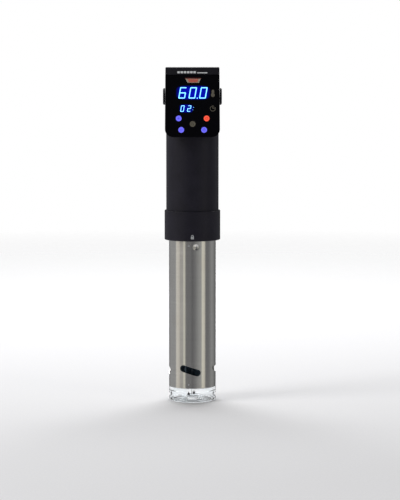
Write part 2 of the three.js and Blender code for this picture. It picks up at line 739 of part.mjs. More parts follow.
function keyLightGuide() {
  const front = HEAD_FRONT + PANEL_THICKNESS + GAP;
  return new THREE.CylinderGeometry(KEY_RADIUS, KEY_RADIUS, displayBack - front, SMALL_ROUND)
    .translate(PANEL_CENTRE_X, (front + displayBack) / 2, 0);
}

/** Pin along +X: a head inside the knuckle wall and a shank out through the cheek. */
function pivotPin() {
  const wallInner = KNUCKLE_HALF_WIDTH - BODY_WALL;
  const headEnd = wallInner - GAP;
  const headStart = headEnd - 2.5;
  return turned(
    [
      [0, headStart],
      [PIN_RADIUS + 2, headStart],
      [PIN_RADIUS + 2, headEnd],
      [PIN_RADIUS, headEnd],
      [PIN_RADIUS, HEAD_HALF_WIDTH - GAP],
      [0, HEAD_HALF_WIDTH - GAP],
    ],
    SMALL_ROUND,
  ).rotate([0, 90, 0]);
}

function frictionWasher() {
  const [start, end] = [KNUCKLE_HALF_WIDTH + GAP, CHEEK_INNER - GAP];
  return tube(PIN_RADIUS + 5, PIN_RADIUS + GAP, start, end, SMALL_ROUND).rotate([0, 90, 0]);
}

/** Round grip on the cheek's outside, ridged around its rim and chamfered. */
function pivotCap() {
  const inner = HEAD_HALF_WIDTH + GAP;
  const chamfer = 1.2;
  const star = new THREE.Shape();
  for (let i = 0; i < 2 * PIVOT_CAP.ridges; i += 1) {
    const angle = (i * Math.PI) / PIVOT_CAP.ridges;
    const radius = PIVOT_CAP.radius - (i % 2) * PIVOT_CAP.ridge;
    const point = [radius * Math.cos(angle), radius * Math.sin(angle)];
    if (i === 0) star.moveTo(...point);
    else star.lineTo(...point);
  }
  const ridged = prismZ(star, inner, PIVOT_CAP.outerX);
  const envelope = turned(
    [
      [0, inner],
      [PIVOT_CAP.radius + CUT, inner],
      [PIVOT_CAP.radius + CUT, PIVOT_CAP.outerX - chamfer - CUT],
      [PIVOT_CAP.radius - chamfer, PIVOT_CAP.outerX],
      [0, PIVOT_CAP.outerX],
    ],
    2 * PIVOT_CAP.ridges,
  );
  return ridged.intersect(envelope).rotate([0, 90, 0]);
}

// ---- assembly ----
function addBody() {
  const body = new THREE.Group();
  addSolid(body, "body_front_shell", bodyShell(-1), satinBlack);
  addSolid(body, "body_rear_shell", bodyShell(1), satinBlack);
  addSolid(body, "lock_collar", lockCollar(), satinBlack);
  addSolid(body, "skirt_spigot", skirtSpigot(), greyNylon);
  addSolid(body, "spigot_seal_ring", spigotSealRing(), sealSilicone);
  addSolid(body, "heater_flange", heaterFlange(), steel);
  addSolid(body, "flange_gasket", flangeGasket(), sealSilicone);
  addMesh(body, "heater_coil", heaterCoil(), steel);
  addSolid(body, "temperature_probe", probe(TEMPERATURE_PROBE), steel);
  addSolid(body, "level_probe_long", probe(LONG_LEVEL_PROBE), steel);
  addSolid(body, "level_probe_short", probe(SHORT_LEVEL_PROBE), steel);
  addSolid(body, "shaft_tube", shaftTube(), steel);
  addSolid(body, "lower_shaft_bush", shaftBush(SHAFT_TUBE.bottom + CUT), bronze);
  addSolid(body, "upper_shaft_bush", shaftBush(SHAFT_TUBE.top - CUT - BUSH_LENGTH), bronze);
  addSolid(body, "shaft_seal", shaftSeal(), blackRubber);
  addSolid(body, "motor_bracket", motorBracket(), zincPlate);
  addSolid(body, "motor_can", motorCan(), zincPlate);
  addSolid(body, "power_board", powerBoard(), boardGreen);
  addSolid(body, "transformer", boardBlock(TRANSFORMER), coreYellow);
  addSolid(body, "relay", boardBlock(RELAY), componentDark);
  addSolid(body, "terminal_block", boardBlock(TERMINAL_BLOCK), componentBlue);
  addSolid(body, "capacitor", capacitor(), componentDark);
  addSolid(body, "heat_sink", heatSink(), aluminium);
  addSolid(body, "cord_inlet_gland", cordInletGland(), blackRubber);
  screwPlaces().forEach((place, i) => {
    addSolid(body, `shell_screw_${i + 1}`, shellScrew(), zincPlate).position.set(...place);
  });
  for (const [side, turn] of [["right", 0], ["left", Math.PI]]) {
    for (const [name, piece, material] of [
      ["pivot_pin", pivotPin, steel],
      ["friction_washer", frictionWasher, bronze],
    ]) {
      const mesh = addSolid(body, `${name}_${side}`, piece(), material);
      mesh.position.z = PIVOT_Z;
      mesh.rotation.z = turn;
    }
  }
  circulator.add(body);
}

function addRotor() {
  const rotor = new THREE.Group();
  addSolid(rotor, "drive_shaft", driveShaft(), steel);
  addSolid(rotor, "impeller", bladedWheel(IMPELLER, SHAFT_BOTTOM - 2 * GAP), greyNylon);
  addSolid(rotor, "cooling_fan", bladedWheel(FAN), componentDark);
  circulator.add(rotor);
}

function addSkirtAndCap() {
  const lower = new THREE.Group();
  addSolid(lower, "steel_skirt", steelSkirt(), steel);
  addSolid(lower, "end_cap", endCap(), clearPlastic);
  circulator.add(lower);
}

function addHead() {
  const head = new THREE.Group();
  addSolid(head, "head_housing", headHousing(), satinBlack);
  addSolid(head, "head_hood", headHood(), satinBlack);
  addSolid(head, "front_panel", frontPanel(), glossBlack);
  addSolid(head, "display_board", displayBoard(), boardGreen);
  addSolid(head, "led_display_large", ledDisplay(LARGE_DISPLAY), displayGlow);
  addSolid(head, "led_display_small", ledDisplay(SMALL_DISPLAY), displayGlow);
  for (const { name, x, z } of KEYS) {
    addMesh(head, name, keyLightGuide(), keyWhite).position.set(x, 0, z);
  }
  for (const [side, turn] of [["right", 0], ["left", Math.PI]]) {
    const cap = addSolid(head, `pivot_cap_${side}`, pivotCap(), satinBlack);
    cap.position.z = PIVOT_Z;
    cap.rotation.z = turn;
  }
  circulator.add(head);
}

addBody();
addRotor();
addSkirtAndCap();
addHead();

export default circulator;
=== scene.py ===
"""Looks for a sous vide circulator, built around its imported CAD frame.

Metres, +Z up. The display faces -Y and +X is to its viewer's right.
Sizes in the constants below are millimetres; MM turns them into metres.
"""

import json
import math

import bmesh
import bpy
from mathutils import Matrix, Vector
from mathutils.geometry import tessellate_polygon


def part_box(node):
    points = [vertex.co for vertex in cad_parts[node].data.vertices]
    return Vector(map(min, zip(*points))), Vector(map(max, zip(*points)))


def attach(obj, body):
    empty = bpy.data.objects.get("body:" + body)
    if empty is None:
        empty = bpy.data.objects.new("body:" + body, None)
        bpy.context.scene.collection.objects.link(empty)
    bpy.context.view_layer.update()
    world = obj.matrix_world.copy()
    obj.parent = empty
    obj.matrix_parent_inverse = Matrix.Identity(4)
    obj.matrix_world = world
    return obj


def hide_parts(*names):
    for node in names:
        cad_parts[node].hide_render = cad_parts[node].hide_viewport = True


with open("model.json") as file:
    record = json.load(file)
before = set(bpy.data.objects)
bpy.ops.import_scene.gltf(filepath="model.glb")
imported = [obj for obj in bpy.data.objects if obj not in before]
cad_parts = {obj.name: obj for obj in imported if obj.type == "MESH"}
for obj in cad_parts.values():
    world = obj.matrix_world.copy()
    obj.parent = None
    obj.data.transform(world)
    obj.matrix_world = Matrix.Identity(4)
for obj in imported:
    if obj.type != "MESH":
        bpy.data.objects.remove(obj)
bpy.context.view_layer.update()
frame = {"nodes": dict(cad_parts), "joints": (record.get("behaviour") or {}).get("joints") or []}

MM = 0.001
SIDES = 160  # sides of a large turned piece
SMALL_SIDES = 48  # sides of a small turned piece
GAP = 0.3 * MM
ON_AXIS = 1e-6  # a radius below this is on the axis
STRAIGHT = math.radians(172)  # a corner this open isn't rounded
SIDE_SHARE = 0.45  # how much of a side one rounded corner may take


def low(node):
    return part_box(node)[0]


def high(node):
    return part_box(node)[1]


def joint_height(name):
    """The height of a joint's position in the frame."""
    found = [joint for joint in frame["joints"] if joint["name"] == name]
    return found[0]["pos_m"][2]


# ---- driving dimensions, mostly read from the frame ----
CAP_LOW = low("end_cap").z
CAP_SPIGOT_TOP = high("end_cap").z
SKIRT_LOW = low("steel_skirt").z
SKIRT_TOP = high("steel_skirt").z
SKIRT_RADIUS = high("steel_skirt").x
SKIRT_WALL = 0.8 * MM
COLLAR_LOW = low("lock_collar").z
COLLAR_TOP = high("lock_collar").z
COLLAR_RADIUS = high("lock_collar").x
SPIGOT_LOW = low("skirt_spigot").z
SPIGOT_TOP = high("skirt_spigot").z
BODY_RADIUS = high("skirt_spigot").x
BODY_TOP = high("body_rear_shell").z
BODY_WALL = 2.2 * MM
PIVOT_Z = joint_height("head_tilt")
SHOULDER_Z = PIVOT_Z - 25 * MM
KNUCKLE_RADIUS = BODY_TOP - PIVOT_Z
KNUCKLE_HALF_WIDTH = 27.3 * MM
HEAD_HALF_WIDTH = high("front_panel").x
HEAD_FRONT = low("front_panel").y
HEAD_LOW = low("front_panel").z
PANEL_TOP = high("front_panel").z
PANEL_THICKNESS = high("front_panel").y - HEAD_FRONT
TOP_Z = high("head_hood").z
EAR_X = high("pivot_cap_right").x
EAR_RADIUS = (high("pivot_cap_right").z - low("pivot_cap_right").z) / 2
GLAND_Z = (low("cord_inlet_gland").z + high("cord_inlet_gland").z) / 2
GLAND_END = high("cord_inlet_gland").y

# Details whose sizes the frame's boxes don't state
SKIRT_RIM = 0.15 * MM  # the skirt's small end roundings
SKIRT_EDGE = 0.6 * MM
SKIRT_SLOT = {"z": 37.6 * MM, "length": 25 * MM, "width": 8 * MM, "slant": -17, "turn": -5.4, "count": 4}
DIMPLE = {"z": 182.7 * MM, "radius": 3.6 * MM, "depth": 1.7 * MM, "fall": 1.15, "turn": 9, "count": 3}
CAP = {
    "wall": 1.9 * MM,
    "chamfer": 0.8 * MM,
    "step": 1.2 * MM,
    "floor": 2.4 * MM,
    "hub": 6 * MM,
    "hub_height": 7 * MM,
    "spoke": 5 * MM,
}
CAP_INLET = {"inner": 8 * MM, "outer": 22.5 * MM}
CAP_WINDOW = {"half": 7 * MM, "low": 3.8 * MM, "high": 8.6 * MM}
CAP_SPIGOT_LOW = 12.4 * MM
COLLAR_STEP = COLLAR_TOP - 7.4 * MM
SPIGOT = {
    "radius": 26.4 * MM,
    "bore": 23.2 * MM,
    "groove": 24.9 * MM,
    "groove_low": 200.6 * MM,
    "groove_high": 204.2 * MM,
}
SHELL_SEAM = 0.5 * MM  # the open line between the body's two halves
SHELL_LAP = 1.5 * MM  # how far the front half's inner lip reaches behind the rear half
SCREW = {
    "x": 23 * MM,
    "heights": (245 * MM, 320 * MM),
    "seat": 12.3 * MM,  # the recess floor's distance behind the seam
    "reach": 12 * MM,  # how far the pilot hole goes in front of it
    "shank": 1.5 * MM,
    "pilot": 1.8 * MM,
    "head": 2.8 * MM,
    "head_height": 2.2 * MM,
    "boss": 3.6 * MM,
    "cross": (1.7 * MM, 0.4 * MM, 1.1 * MM),  # half length, half width and depth
}
VENT = {"count": 5, "width": 2.4 * MM, "height": 12 * MM, "turn": 11, "heights": (236 * MM, 316 * MM)}
GLAND = {
    "hole": 6.3 * MM,
    "bore": 3.6 * MM,
    "flange": 8.5 * MM,
    "flange_thickness": 2.5 * MM,
    "nose_step": 0.6 * MM,
    "rib": 1.5 * MM,
    "rib_depth": 0.7 * MM,
}
PIN_RADIUS = 4 * MM
PIN_HEAD = {"radius": 6 * MM, "thickness": 2.5 * MM}
WASHER_RADIUS = 9 * MM
TRAY_DEPTH = 8.5 * MM  # from the panel's face to the tray's back
TRAY_RIM = 2 * MM
CHEEK = {"inner": 28.6 * MM, "radius": 24 * MM, "front_low": -15 * MM, "back": 9 * MM, "inset": 0.02 * MM}
HOOD_INNER = TOP_Z - 2 * MM - PIVOT_Z
HOOD_END_ANGLE = 47
HOOD_TOP_FRONT = -34.5 * MM
HEAD_CORNER = 9.5 * MM
HEAD_TAPER = 0.02  # how much narrower the head is at its top than at its bottom
EAR = {"ridges": 24, "ridge_depth": 0.45 * MM, "chamfer": 1.1 * MM, "rim": 3 * MM, "edge": 0.3 * MM}
COIL = {
    "radius": 15.3 * MM,
    "tube": 2.9 * MM,
    "bottom": 58 * MM,
    "pitch": 13 * MM,
    "turns": 5,
    "inner_leg": 8.8 * MM,
    "inner_turn": -76,  # where the inner leg stands, in degrees from the front
    "outer_turn": 44,  # how far past the last turn the outer leg stands
    "steps_per_turn": 12,
}
WHEELS = {
    "impeller": {"blades": 5, "disc": 1.6 * MM, "thickness": 1.6 * MM, "hub": 5 * MM},
    "cooling_fan": {"blades": 5, "disc": 0.8 * MM, "thickness": 1.2 * MM, "hub": 5 * MM},
}
WHEEL_DISC = 0.92  # the disc's radius over the wheel's
BLADE = {"reach": 0.99, "sweep": 0.75, "root": 0.6}  # of the wheel's radius, the reach and the hub's radius
SHAFT_RADIUS = 2 * MM
SHAFT_TUBE_WALL = 0.7 * MM

# The display and the marks, mostly as places on the panel in millimetres
SEGMENTS = {"0": "abcdef", "2": "abged", "6": "afgedc"}
LARGE_DIGITS = {
    "text": "600",
    "left": (-16.6, -4.9, 7.3),
    "z": 356.0,
    "width": 8.2,
    "height": 13.4,
    "bar": 1.6,
    "dots": ((5.6, 356.6, 0.95),),
}
SMALL_DIGITS = {
    "text": "02",
    "left": (-14.3, -6.5),
    "z": 340.9,
    "width": 4.3,
    "height": 7.5,
    "bar": 1.05,
    "dots": ((1.3, 346.0, 0.42), (0.5, 343.2, 0.42)),
}
DISPLAY_GLOWS = (
    {"x": 0.8, "z": 362.9, "half_x": 17.2, "half_z": 7.2, "reach": 0.8, "gain": 0.72},
    {"x": -7.2, "z": 344.7, "half_x": 7.0, "half_z": 4.3, "reach": 0.8, "gain": 0.5},
)
DIGIT_SLANT = 10
DIGIT_CORE = 0.58  # how much of a lit bar is its bright core
KEY_RADIUS = 3.3
KEYS = {
    "key_light_guide_upper_left": ("plus", "blue"),
    "key_light_guide_upper_right": ("power", "red"),
    "key_light_guide_centre": ("bars", "unlit"),
    "key_light_guide_lower_left": ("minus", "blue"),
    "key_light_guide_lower_right": ("ring", "blue"),
}
THERMOMETER = (23.6, 362.3)
CLOCK = (23.5, 344.7)
BADGE = {"z": 374.4, "height": 5.4, "bottom": (-5.6, 7.4), "top": (-8.6, 10.1)}
BROW_DASH = {"left": -17.4, "count": 6, "width": 2.9, "pitch": 3.7, "low": 2.0, "high": 4.9}
BROW_TAIL = {"start": 0.7, "end": 12.4, "low": 2.0, "high": 3.4}  # the long thin dash after them
MARK_Z = {"padlock": 195.4 * MM, "skirt_arrow": 184.9 * MM, "skirt_dot": 21.1 * MM, "cap_arrow": 11.2 * MM}
MARK_X = -4.3 * MM  # of the marks on the skirt and the cap
PRINT = 0.05 * MM  # how thick a printed mark is
LIFT = 0.01 * MM  # how far a mark stands off its surface
SECOND_LIFT = PRINT + 0.02 * MM  # and when it lies on another mark
PANEL_STEP = 2.0  # the widest facet of a mark on the panel


# ---- geometry helpers ----
def placed(shape_mesh, name):
    """A bmesh as an object of the scene."""
    bmesh.ops.recalc_face_normals(shape_mesh, faces=shape_mesh.faces)
    mesh = bpy.data.meshes.new(name)
    shape_mesh.to_mesh(mesh)
    shape_mesh.free()
    made = bpy.data.objects.new(name, mesh)
    bpy.context.scene.collection.objects.link(made)
    return made


def filleted(profile, radius, steps=4):
    """A closed profile with its corners rounded. Corners on the axis stay sharp."""
    points = [Vector(point) for point in profile]
    result = []
    for i, corner in enumerate(points):
        before = points[i - 1] - corner
        after = points[(i + 1) % len(points)] - corner
        if corner.x < ON_AXIS or before.angle(after) > STRAIGHT:
            result.append(corner)
            continue
        reach = min(radius, before.length * SIDE_SHARE, after.length * SIDE_SHARE)
        start = corner + before.normalized() * reach
        end = corner + after.normalized() * reach
        for step in range(steps + 1):
            t = step / steps
            result.append(start.lerp(corner, t).lerp(corner.lerp(end, t), t))
    return [(point.x, point.y) for point in result]


def skinned(shape, rings, closed=False):
    """Adds the faces between each ring of vertices and the next. One vertex alone is a tip."""
    sides = max(len(ring) for ring in rings)
    following = rings[1:] + rings[:1] if closed else rings[1:]
    for a, b in zip(rings, following):
        if len(a) == 1 and len(b) == 1:
            continue
        for i in range(sides):
            j = (i + 1) % sides
            corners = [a[i % len(a)], a[j % len(a)], b[j % len(b)], b[i % len(b)]]
            shape.faces.new(list(dict.fromkeys(corners)))


def turned(profile, sides=SIDES):
    """A closed profile of (radius, z), turned about the Z axis."""
    shape = bmesh.new()
    rings = []
    for radius, z in profile:
        if radius < ON_AXIS:
            rings.append([shape.verts.new((0, 0, z))])
            continue
        ring = []
        for i in range(sides):
            angle = 2 * math.pi * i / sides
            ring.append(shape.verts.new((radius * math.cos(angle), radius * math.sin(angle), z)))
        rings.append(ring)
    skinned(shape, rings, closed=True)
    return placed(shape, "turned")


def rod(radius, start, end, sides=SMALL_SIDES):
    """A plain sharp-edged cylinder."""
    return turned([(0, start), (radius, start), (radius, end), (0, end)], sides)


def disc(radius, bottom, top, sides=SMALL_SIDES, rounding=0.2 * MM):
    return turned(filleted([(0, bottom), (radius, bottom), (radius, top), (0, top)], rounding), sides)


def tube(outer, inner, bottom, top, sides=SMALL_SIDES, rounding=0.2 * MM):
    profile = [(inner, bottom), (outer, bottom), (outer, top), (inner, top)]
    return turned(filleted(profile, rounding), sides)


def prism(outline, axis, start, end):
    """An outline extruded along an axis: (y, z) along x, (x, z) along y or (x, y) along z."""
    place = {
        "x": lambda u, v, w: (w, u, v),
        "y": lambda u, v, w: (u, w, v),
        "z": lambda u, v, w: (u, v, w),
    }[axis]
    shape = bmesh.new()
    near = [shape.verts.new(place(u, v, start)) for u, v in outline]
    far = [shape.verts.new(place(u, v, end)) for u, v in outline]
    shape.faces.new(near)
    shape.faces.new(far)
    for i in range(len(outline)):
        j = (i + 1) % len(outline)
        shape.faces.new((near[i], near[j], far[j], far[i]))
    return placed(shape, "prism")


def arc(u, v, radius, start, end, steps):
    """Points on a circle about (u, v), from one angle to another in degrees."""
    points = []
    for step in range(steps + 1):
        angle = math.radians(start + (end - start) * step / steps)
        points.append((u + radius * math.cos(angle), v + radius * math.sin(angle)))
    return points


def circle(u, v, radius, count=32):
    return arc(u, v, radius, 0, 360 - 360 / count, count - 1)


def rectangle(low_u, high_u, low_v, high_v):
    return [(low_u, low_v), (high_u, low_v), (high_u, high_v), (low_u, high_v)]


def block(low_x, high_x, low_y, high_y, low_z, high_z):
    return prism(rectangle(low_x, high_x, low_y, high_y), "z", low_z, high_z)


def bake(target):
    """Replaces an object's mesh with what its modifiers make of it."""
    graph = bpy.context.evaluated_depsgraph_get()
    mesh = bpy.data.meshes.new_from_object(target.evaluated_get(graph))
    target.modifiers.clear()
    target.data = mesh


def transformed(target, matrix):
    target.data.transform(matrix)
    return target


def rotated(target, degrees, axis="Z"):
    return transformed(target, Matrix.Rotation(math.radians(degrees), 4, axis))


def moved(target, x, y, z):
    return transformed(target, Matrix.Translation((x, y, z)))


def copy_of(source):
    made = bpy.data.objects.new(source.name, source.data.copy())
    bpy.context.scene.collection.objects.link(made)
    return made


def joined(parts):
    """Several objects as one mesh, without merging their surfaces."""
    shape = bmesh.new()
    for part in parts:
        shape.from_mesh(part.data)
        bpy.data.objects.remove(part)
    mesh = bpy.data.meshes.new("joined")
    shape.to_mesh(mesh)
    shape.free()
    made = bpy.data.objects.new("joined", mesh)
    bpy.context.scene.collection.objects.link(made)
    return made


def combined(target, other, operation):
    modifier = target.modifiers.new("combine", "BOOLEAN")
    modifier.operation = operation
    modifier.solver = "EXACT"
    modifier.object = other
    bake(target)
    bpy.data.objects.remove(other)
    return target


def cut(target, *cutters):
    for cutter in cutters:
        combined(target, cutter, "DIFFERENCE")
    return target


def cleaned(target, distance=0.01 * MM):
    """Merges the near-doubled vertices that booleans and bevels leave, with their slivers."""
    shape = bmesh.new()
    shape.from_mesh(target.data)
    bmesh.ops.remove_doubles(shape, verts=shape.verts[:], dist=distance)
    bmesh.ops.dissolve_degenerate(shape, edges=shape.edges[:], dist=distance)
    shape.to_mesh(target.data)
    shape.free()
    return target


def softened(target, width, segments=2, angle=40):
    """Rounds the edges that are sharper than an angle."""
    modifier = target.modifiers.new("bevel", "BEVEL")
    modifier.width = width
    modifier.segments = segments
    modifier.limit_method = "ANGLE"
    modifier.angle_limit = math.radians(angle)
    modifier.use_clamp_overlap = True
    bake(target)
    return target


def finished(target, name, body, material, slot, nodes=(), sharp=38):
    """Names, shades and places a piece, and hides the CAD nodes it stands for."""
    target.name = name
    target.data.name = name
    target.data.materials.clear()
    target.data.materials.append(material)
    target.data.shade_smooth()
    target.data.set_sharp_from_angle(angle=math.radians(sharp))
    weighted = target.modifiers.new("weighted_normals", "WEIGHTED_NORMAL")
    weighted.keep_sharp = True
    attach(target, body)
    if nodes:
        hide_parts(*nodes)
    return target


def tapered(target):
    """Narrows a piece of the head towards its top."""
    for vertex in target.data.vertices:
        share = (vertex.co.z - HEAD_LOW) / (TOP_Z - HEAD_LOW)
        vertex.co.x *= 1 - HEAD_TAPER * share
    return target


# ---- shader helpers ----
class Graph:
    """A node tree whose nodes are added and linked in one call each."""

    def __init__(self, tree):
        self.tree = tree

    def add(self, kind, settings=None, **inputs):
        node = self.tree.nodes.new(kind)
        for key, value in (settings or {}).items():
            setattr(node, key, value)
        for key, value in inputs.items():
            self.feed(node, key, value)
        return node

    def feed(self, node, key, value):
        """Links or sets an input, given by its name or as i and its number."""
        numbered = key[0] == "i" and key[1:].isdigit()
        socket = node.inputs[int(key[1:]) if numbered else key.replace("_", " ")]
        if isinstance(value, bpy.types.NodeSocket):
            self.tree.links.new(value, socket)
        elif socket.type == "RGBA":
            socket.default_value = (*value, 1.0)
        else:
            socket.default_value = value

    def math(self, operation, a, b=0.0, clamp=False):
        settings = {"operation": operation, "use_clamp": clamp}
        return self.add("ShaderNodeMath", settings, i0=a, i1=b).outputs[0]

    def plus(self, a, b):
        return self.math("ADD", a, b)

    def minus(self, a, b):
        return self.math("SUBTRACT", a, b)

    def times(self, a, b, clamp=False):
        return self.math("MULTIPLY", a, b, clamp)

    def vector(self, operation, **inputs):
        return self.add("ShaderNodeVectorMath", {"operation": operation}, **inputs).outputs


class Shader(Graph):
    """A material built round its Principled BSDF."""

    def __init__(self, name):
        self.material = bpy.data.materials.new(name)
        self.material.use_nodes = True
        super().__init__(self.material.node_tree)
        self.surface = self.tree.nodes["Principled BSDF"]
        self.place = self.add("ShaderNodeTexCoord").outputs["Object"]

    def set(self, **inputs):
        for key, value in inputs.items():
            self.feed(self.surface, key, value)

    def stretched(self, stretch):
        """Object coordinates, scaled by one number or by one along each axis."""
        scale = stretch if isinstance(stretch, tuple) else (stretch,) * 3
        return self.add("ShaderNodeMapping", Vector=self.place, Scale=scale).outputs["Vector"]

    def noise(self, stretch, detail=2.0, roughness=0.5):
        inputs = {"Scale": 1.0, "Detail": detail, "Roughness": roughness}
        return self.add("ShaderNodeTexNoise", Vector=self.stretched(stretch), **inputs).outputs["Fac"]

    def range(self, value, start, end, low_in=0.3, high_in=0.7):
        """Carries a value from its own range to another, clamped. Noise mostly lies in 0.3 to 0.7."""
        node = self.add("ShaderNodeMapRange", Value=value, i1=low_in, i2=high_in, i3=start, i4=end)
        return node.outputs["Result"]

    def blend(self, factor, first, second):
        return self.add("ShaderNodeMix", {"data_type": "RGBA"}, i0=factor, i6=first, i7=second).outputs[2]

    def bump(self, height, strength, distance):
        node = self.add("ShaderNodeBump", Height=height, Strength=strength, Distance=distance)
        return node.outputs["Normal"]

    def edges(self, radius, gain):
        """How near the surface is to an edge, from 0 to 1."""
        soft = self.add("ShaderNodeBevel", {"samples": 4}, Radius=radius).outputs["Normal"]
        true = self.add("ShaderNodeNewGeometry").outputs["Normal"]
        dot = self.vector("DOT_PRODUCT", i0=soft, i1=true)["Value"]
        return self.times(self.minus(1.0, dot), gain, clamp=True)


def scaled(colour, factor):
    return tuple(channel * factor for channel in colour)


# ---- materials ----
def moulded_plastic(name, base, roughness, grain=0.12, wear_and_sheen=0.5):
    """Satin moulded plastic: spark-eroded grain, faint blotches, and lighter, smoother edges that are partly
    scuffed and partly a painted highlight.
    """
    shader = Shader(name)
    blotch = shader.noise(55, detail=3)
    texture = shader.noise(2600, detail=2)
    base_colour = shader.blend(shader.range(blotch, 0, 1), scaled(base, 0.86), scaled(base, 1.16))
    # Lighter, glossier edges: partly scuffing from use, partly a painted highlight.
    wear_and_sheen_mask = shader.times(shader.edges(0.5 * MM, 5.0), shader.range(blotch, 0.3, 1.0))
    wear_and_sheen_mask = shader.times(wear_and_sheen_mask, wear_and_sheen)
    satin = shader.range(blotch, roughness - 0.03, roughness + 0.03)
    satin = shader.plus(shader.range(texture, -0.05, 0.05), satin)
    shader.set(
        Base_Color=shader.blend(wear_and_sheen_mask, base_colour, scaled(base, 3.2)),
        Roughness=shader.minus(satin, shader.times(wear_and_sheen_mask, 0.12)),
        Specular_IOR_Level=0.2,
        Normal=shader.bump(texture, grain, 0.06 * MM),
    )
    return shader.material


def gloss_panel(name):
    """Smoked gloss acrylic with faint smears, lit from behind at the two displays."""
    shader = Shader(name)
    smear = shader.noise((30, 30, 90), detail=4, roughness=0.65)
    dust = shader.range(shader.noise(900, detail=1), 0.0, 0.03, 0.62, 0.8)
    clean, smeared = (0.0008, 0.0008, 0.0016), (0.0014, 0.0013, 0.0026)
    shader.set(
        Base_Color=shader.blend(shader.range(smear, 0, 1), clean, smeared),
        Roughness=shader.plus(shader.range(smear, 0.035, 0.075), dust),
        Normal=shader.bump(smear, 0.02, 0.05 * MM),
        Specular_IOR_Level=0.12,
    )
    axes = shader.add("ShaderNodeSeparateXYZ", Vector=shader.place).outputs
    glow = 0.0
    for window in DISPLAY_GLOWS:
        glow = shader.plus(glow, window_glow(shader, axes, **window))
    front = shader.range(axes["Y"], 1, 0, HEAD_FRONT + 0.02 * MM, HEAD_FRONT + 0.1 * MM)
    cloud = shader.range(shader.noise(260, detail=3), 0.75, 1.1)
    strength = shader.times(shader.times(glow, front), cloud)
    shader.set(Emission_Color=(0.0, 0.004, 0.62), Emission_Strength=strength)
    return shader.material


def window_glow(shader, axes, x, z, half_x, half_z, reach, gain):
    """A lit window's glow: full in the middle, fading out round its edge."""
    off_x = shader.math("DIVIDE", shader.minus(axes["X"], x * MM), half_x * MM)
    off_z = shader.math("DIVIDE", shader.minus(axes["Z"], z * MM), half_z * MM)
    away = [shader.math("POWER", shader.math("ABSOLUTE", off), 4) for off in (off_x, off_z)]
    away = shader.plus(*away)
    return shader.range(away, gain, 0, 1 - reach, 1 + reach)


def brushed_steel(name, base, roughness, anisotropy, lines):
    """Stainless steel brushed round the Z axis: fine lines, small scratches and water marks."""
    shader = Shader(name)
    fine = shader.noise((14, 14, lines), detail=3, roughness=0.6)
    coarse = shader.noise((9, 9, lines * 0.22), detail=2)
    marks = shader.noise((38, 38, 20), detail=5, roughness=0.6)
    lined = shader.blend(shader.range(fine, 0, 1), scaled(base, 0.9), scaled(base, 1.06))
    stained = shader.blend(shader.range(marks, 0, 0.35, 0.52, 0.75), lined, (0.5, 0.47, 0.42))
    rough = shader.range(marks, roughness - 0.02, roughness + 0.05)
    rough = shader.plus(shader.range(coarse, -0.035, 0.035), rough)
    tangent = shader.add("ShaderNodeTangent", {"direction_type": "RADIAL", "axis": "Z"}).outputs[0]
    shader.set(
        Base_Color=stained,
        Metallic=1.0,
        Roughness=rough,
        Anisotropic=anisotropy,
        Anisotropic_Rotation=0.25,
        Tangent=tangent,
        Normal=shader.bump(fine, 0.03, 0.02 * MM),
    )
    return shader.material


def plain_metal(name, base, roughness, grain=0.08):
    """Plated, drawn or sintered metal with a fine even grain."""
    shader = Shader(name)
    texture = shader.noise(1500, detail=3)
    patches = shader.noise(70, detail=4)
    rough = shader.range(patches, roughness - 0.05, roughness + 0.08)
    shader.set(
        Base_Color=shader.blend(shader.range(patches, 0, 1), scaled(base, 0.84), scaled(base, 1.1)),
        Metallic=1.0,
        Roughness=shader.plus(rough, shader.range(texture, 0, 0.06)),
        Normal=shader.bump(texture, grain, 0.05 * MM),
    )
    return shader.material


def clear_plastic(name):
    """Clear polycarbonate with moulding ripple and fine scuffs."""
    shader = Shader(name)
    ripple = shader.noise((40, 40, 70), detail=2)
    scuffs = shader.noise((1500, 1500, 300), detail=3)
    shader.set(
        Base_Color=shader.blend(shader.range(ripple, 0, 1), (0.93, 0.96, 0.97), (0.98, 0.99, 1.0)),
        Roughness=shader.range(scuffs, 0.02, 0.09, 0.5, 0.8),
        Transmission_Weight=1.0,
        IOR=1.18,
        Normal=shader.bump(ripple, 0.05, 0.2 * MM),
    )
    return shader.material


def rubber(name, base, roughness=0.75):
    """Matte rubber or silicone with a dusty bloom."""
    shader = Shader(name)
    bloom = shader.noise(160, detail=4)
    skin = shader.noise(2200, detail=2)
    shader.set(
        Base_Color=shader.blend(shader.range(bloom, 0, 1), base, scaled(base, 1.7)),
        Roughness=shader.range(bloom, roughness - 0.08, roughness + 0.1),
        Specular_IOR_Level=0.3,
        Normal=shader.bump(skin, 0.2, 0.08 * MM),
    )
    return shader.material


def circuit_board(name):
    """Green solder mask over faint copper tracks."""
    shader = Shader(name)
    tracks = shader.add(
        "ShaderNodeTexBrick",
        Vector=shader.stretched(1),
        Color1=(0.008, 0.09, 0.03),
        Color2=(0.012, 0.12, 0.04),
        Mortar=(0.02, 0.2, 0.07),
        Scale=190.0,
        Mortar_Size=0.06,
    )
    speck = shader.noise(900, detail=2)
    dark_green = (0.005, 0.06, 0.02)
    shader.set(
        Base_Color=shader.blend(shader.range(speck, 0, 0.3), tracks.outputs["Color"], dark_green),
        Roughness=shader.range(speck, 0.28, 0.45),
        Normal=shader.bump(tracks.outputs["Fac"], 0.2, 0.05 * MM),
    )
    return shader.material


def taped_winding(name):
    """Yellow polyester tape in overlapping turns."""
    shader = Shader(name)
    bands = {"Scale": 70.0, "Distortion": 1.5}
    wave = shader.add("ShaderNodeTexWave", {"bands_direction": "Z"}, Vector=shader.place, **bands)
    crease = shader.noise(300, detail=3)
    shader.set(
        Base_Color=shader.blend(wave.outputs["Fac"], (0.5, 0.3, 0.03), (0.68, 0.46, 0.07)),
        Roughness=shader.range(crease, 0.3, 0.5),
        Normal=shader.bump(wave.outputs["Fac"], 0.3, 0.2 * MM),
    )
    return shader.material


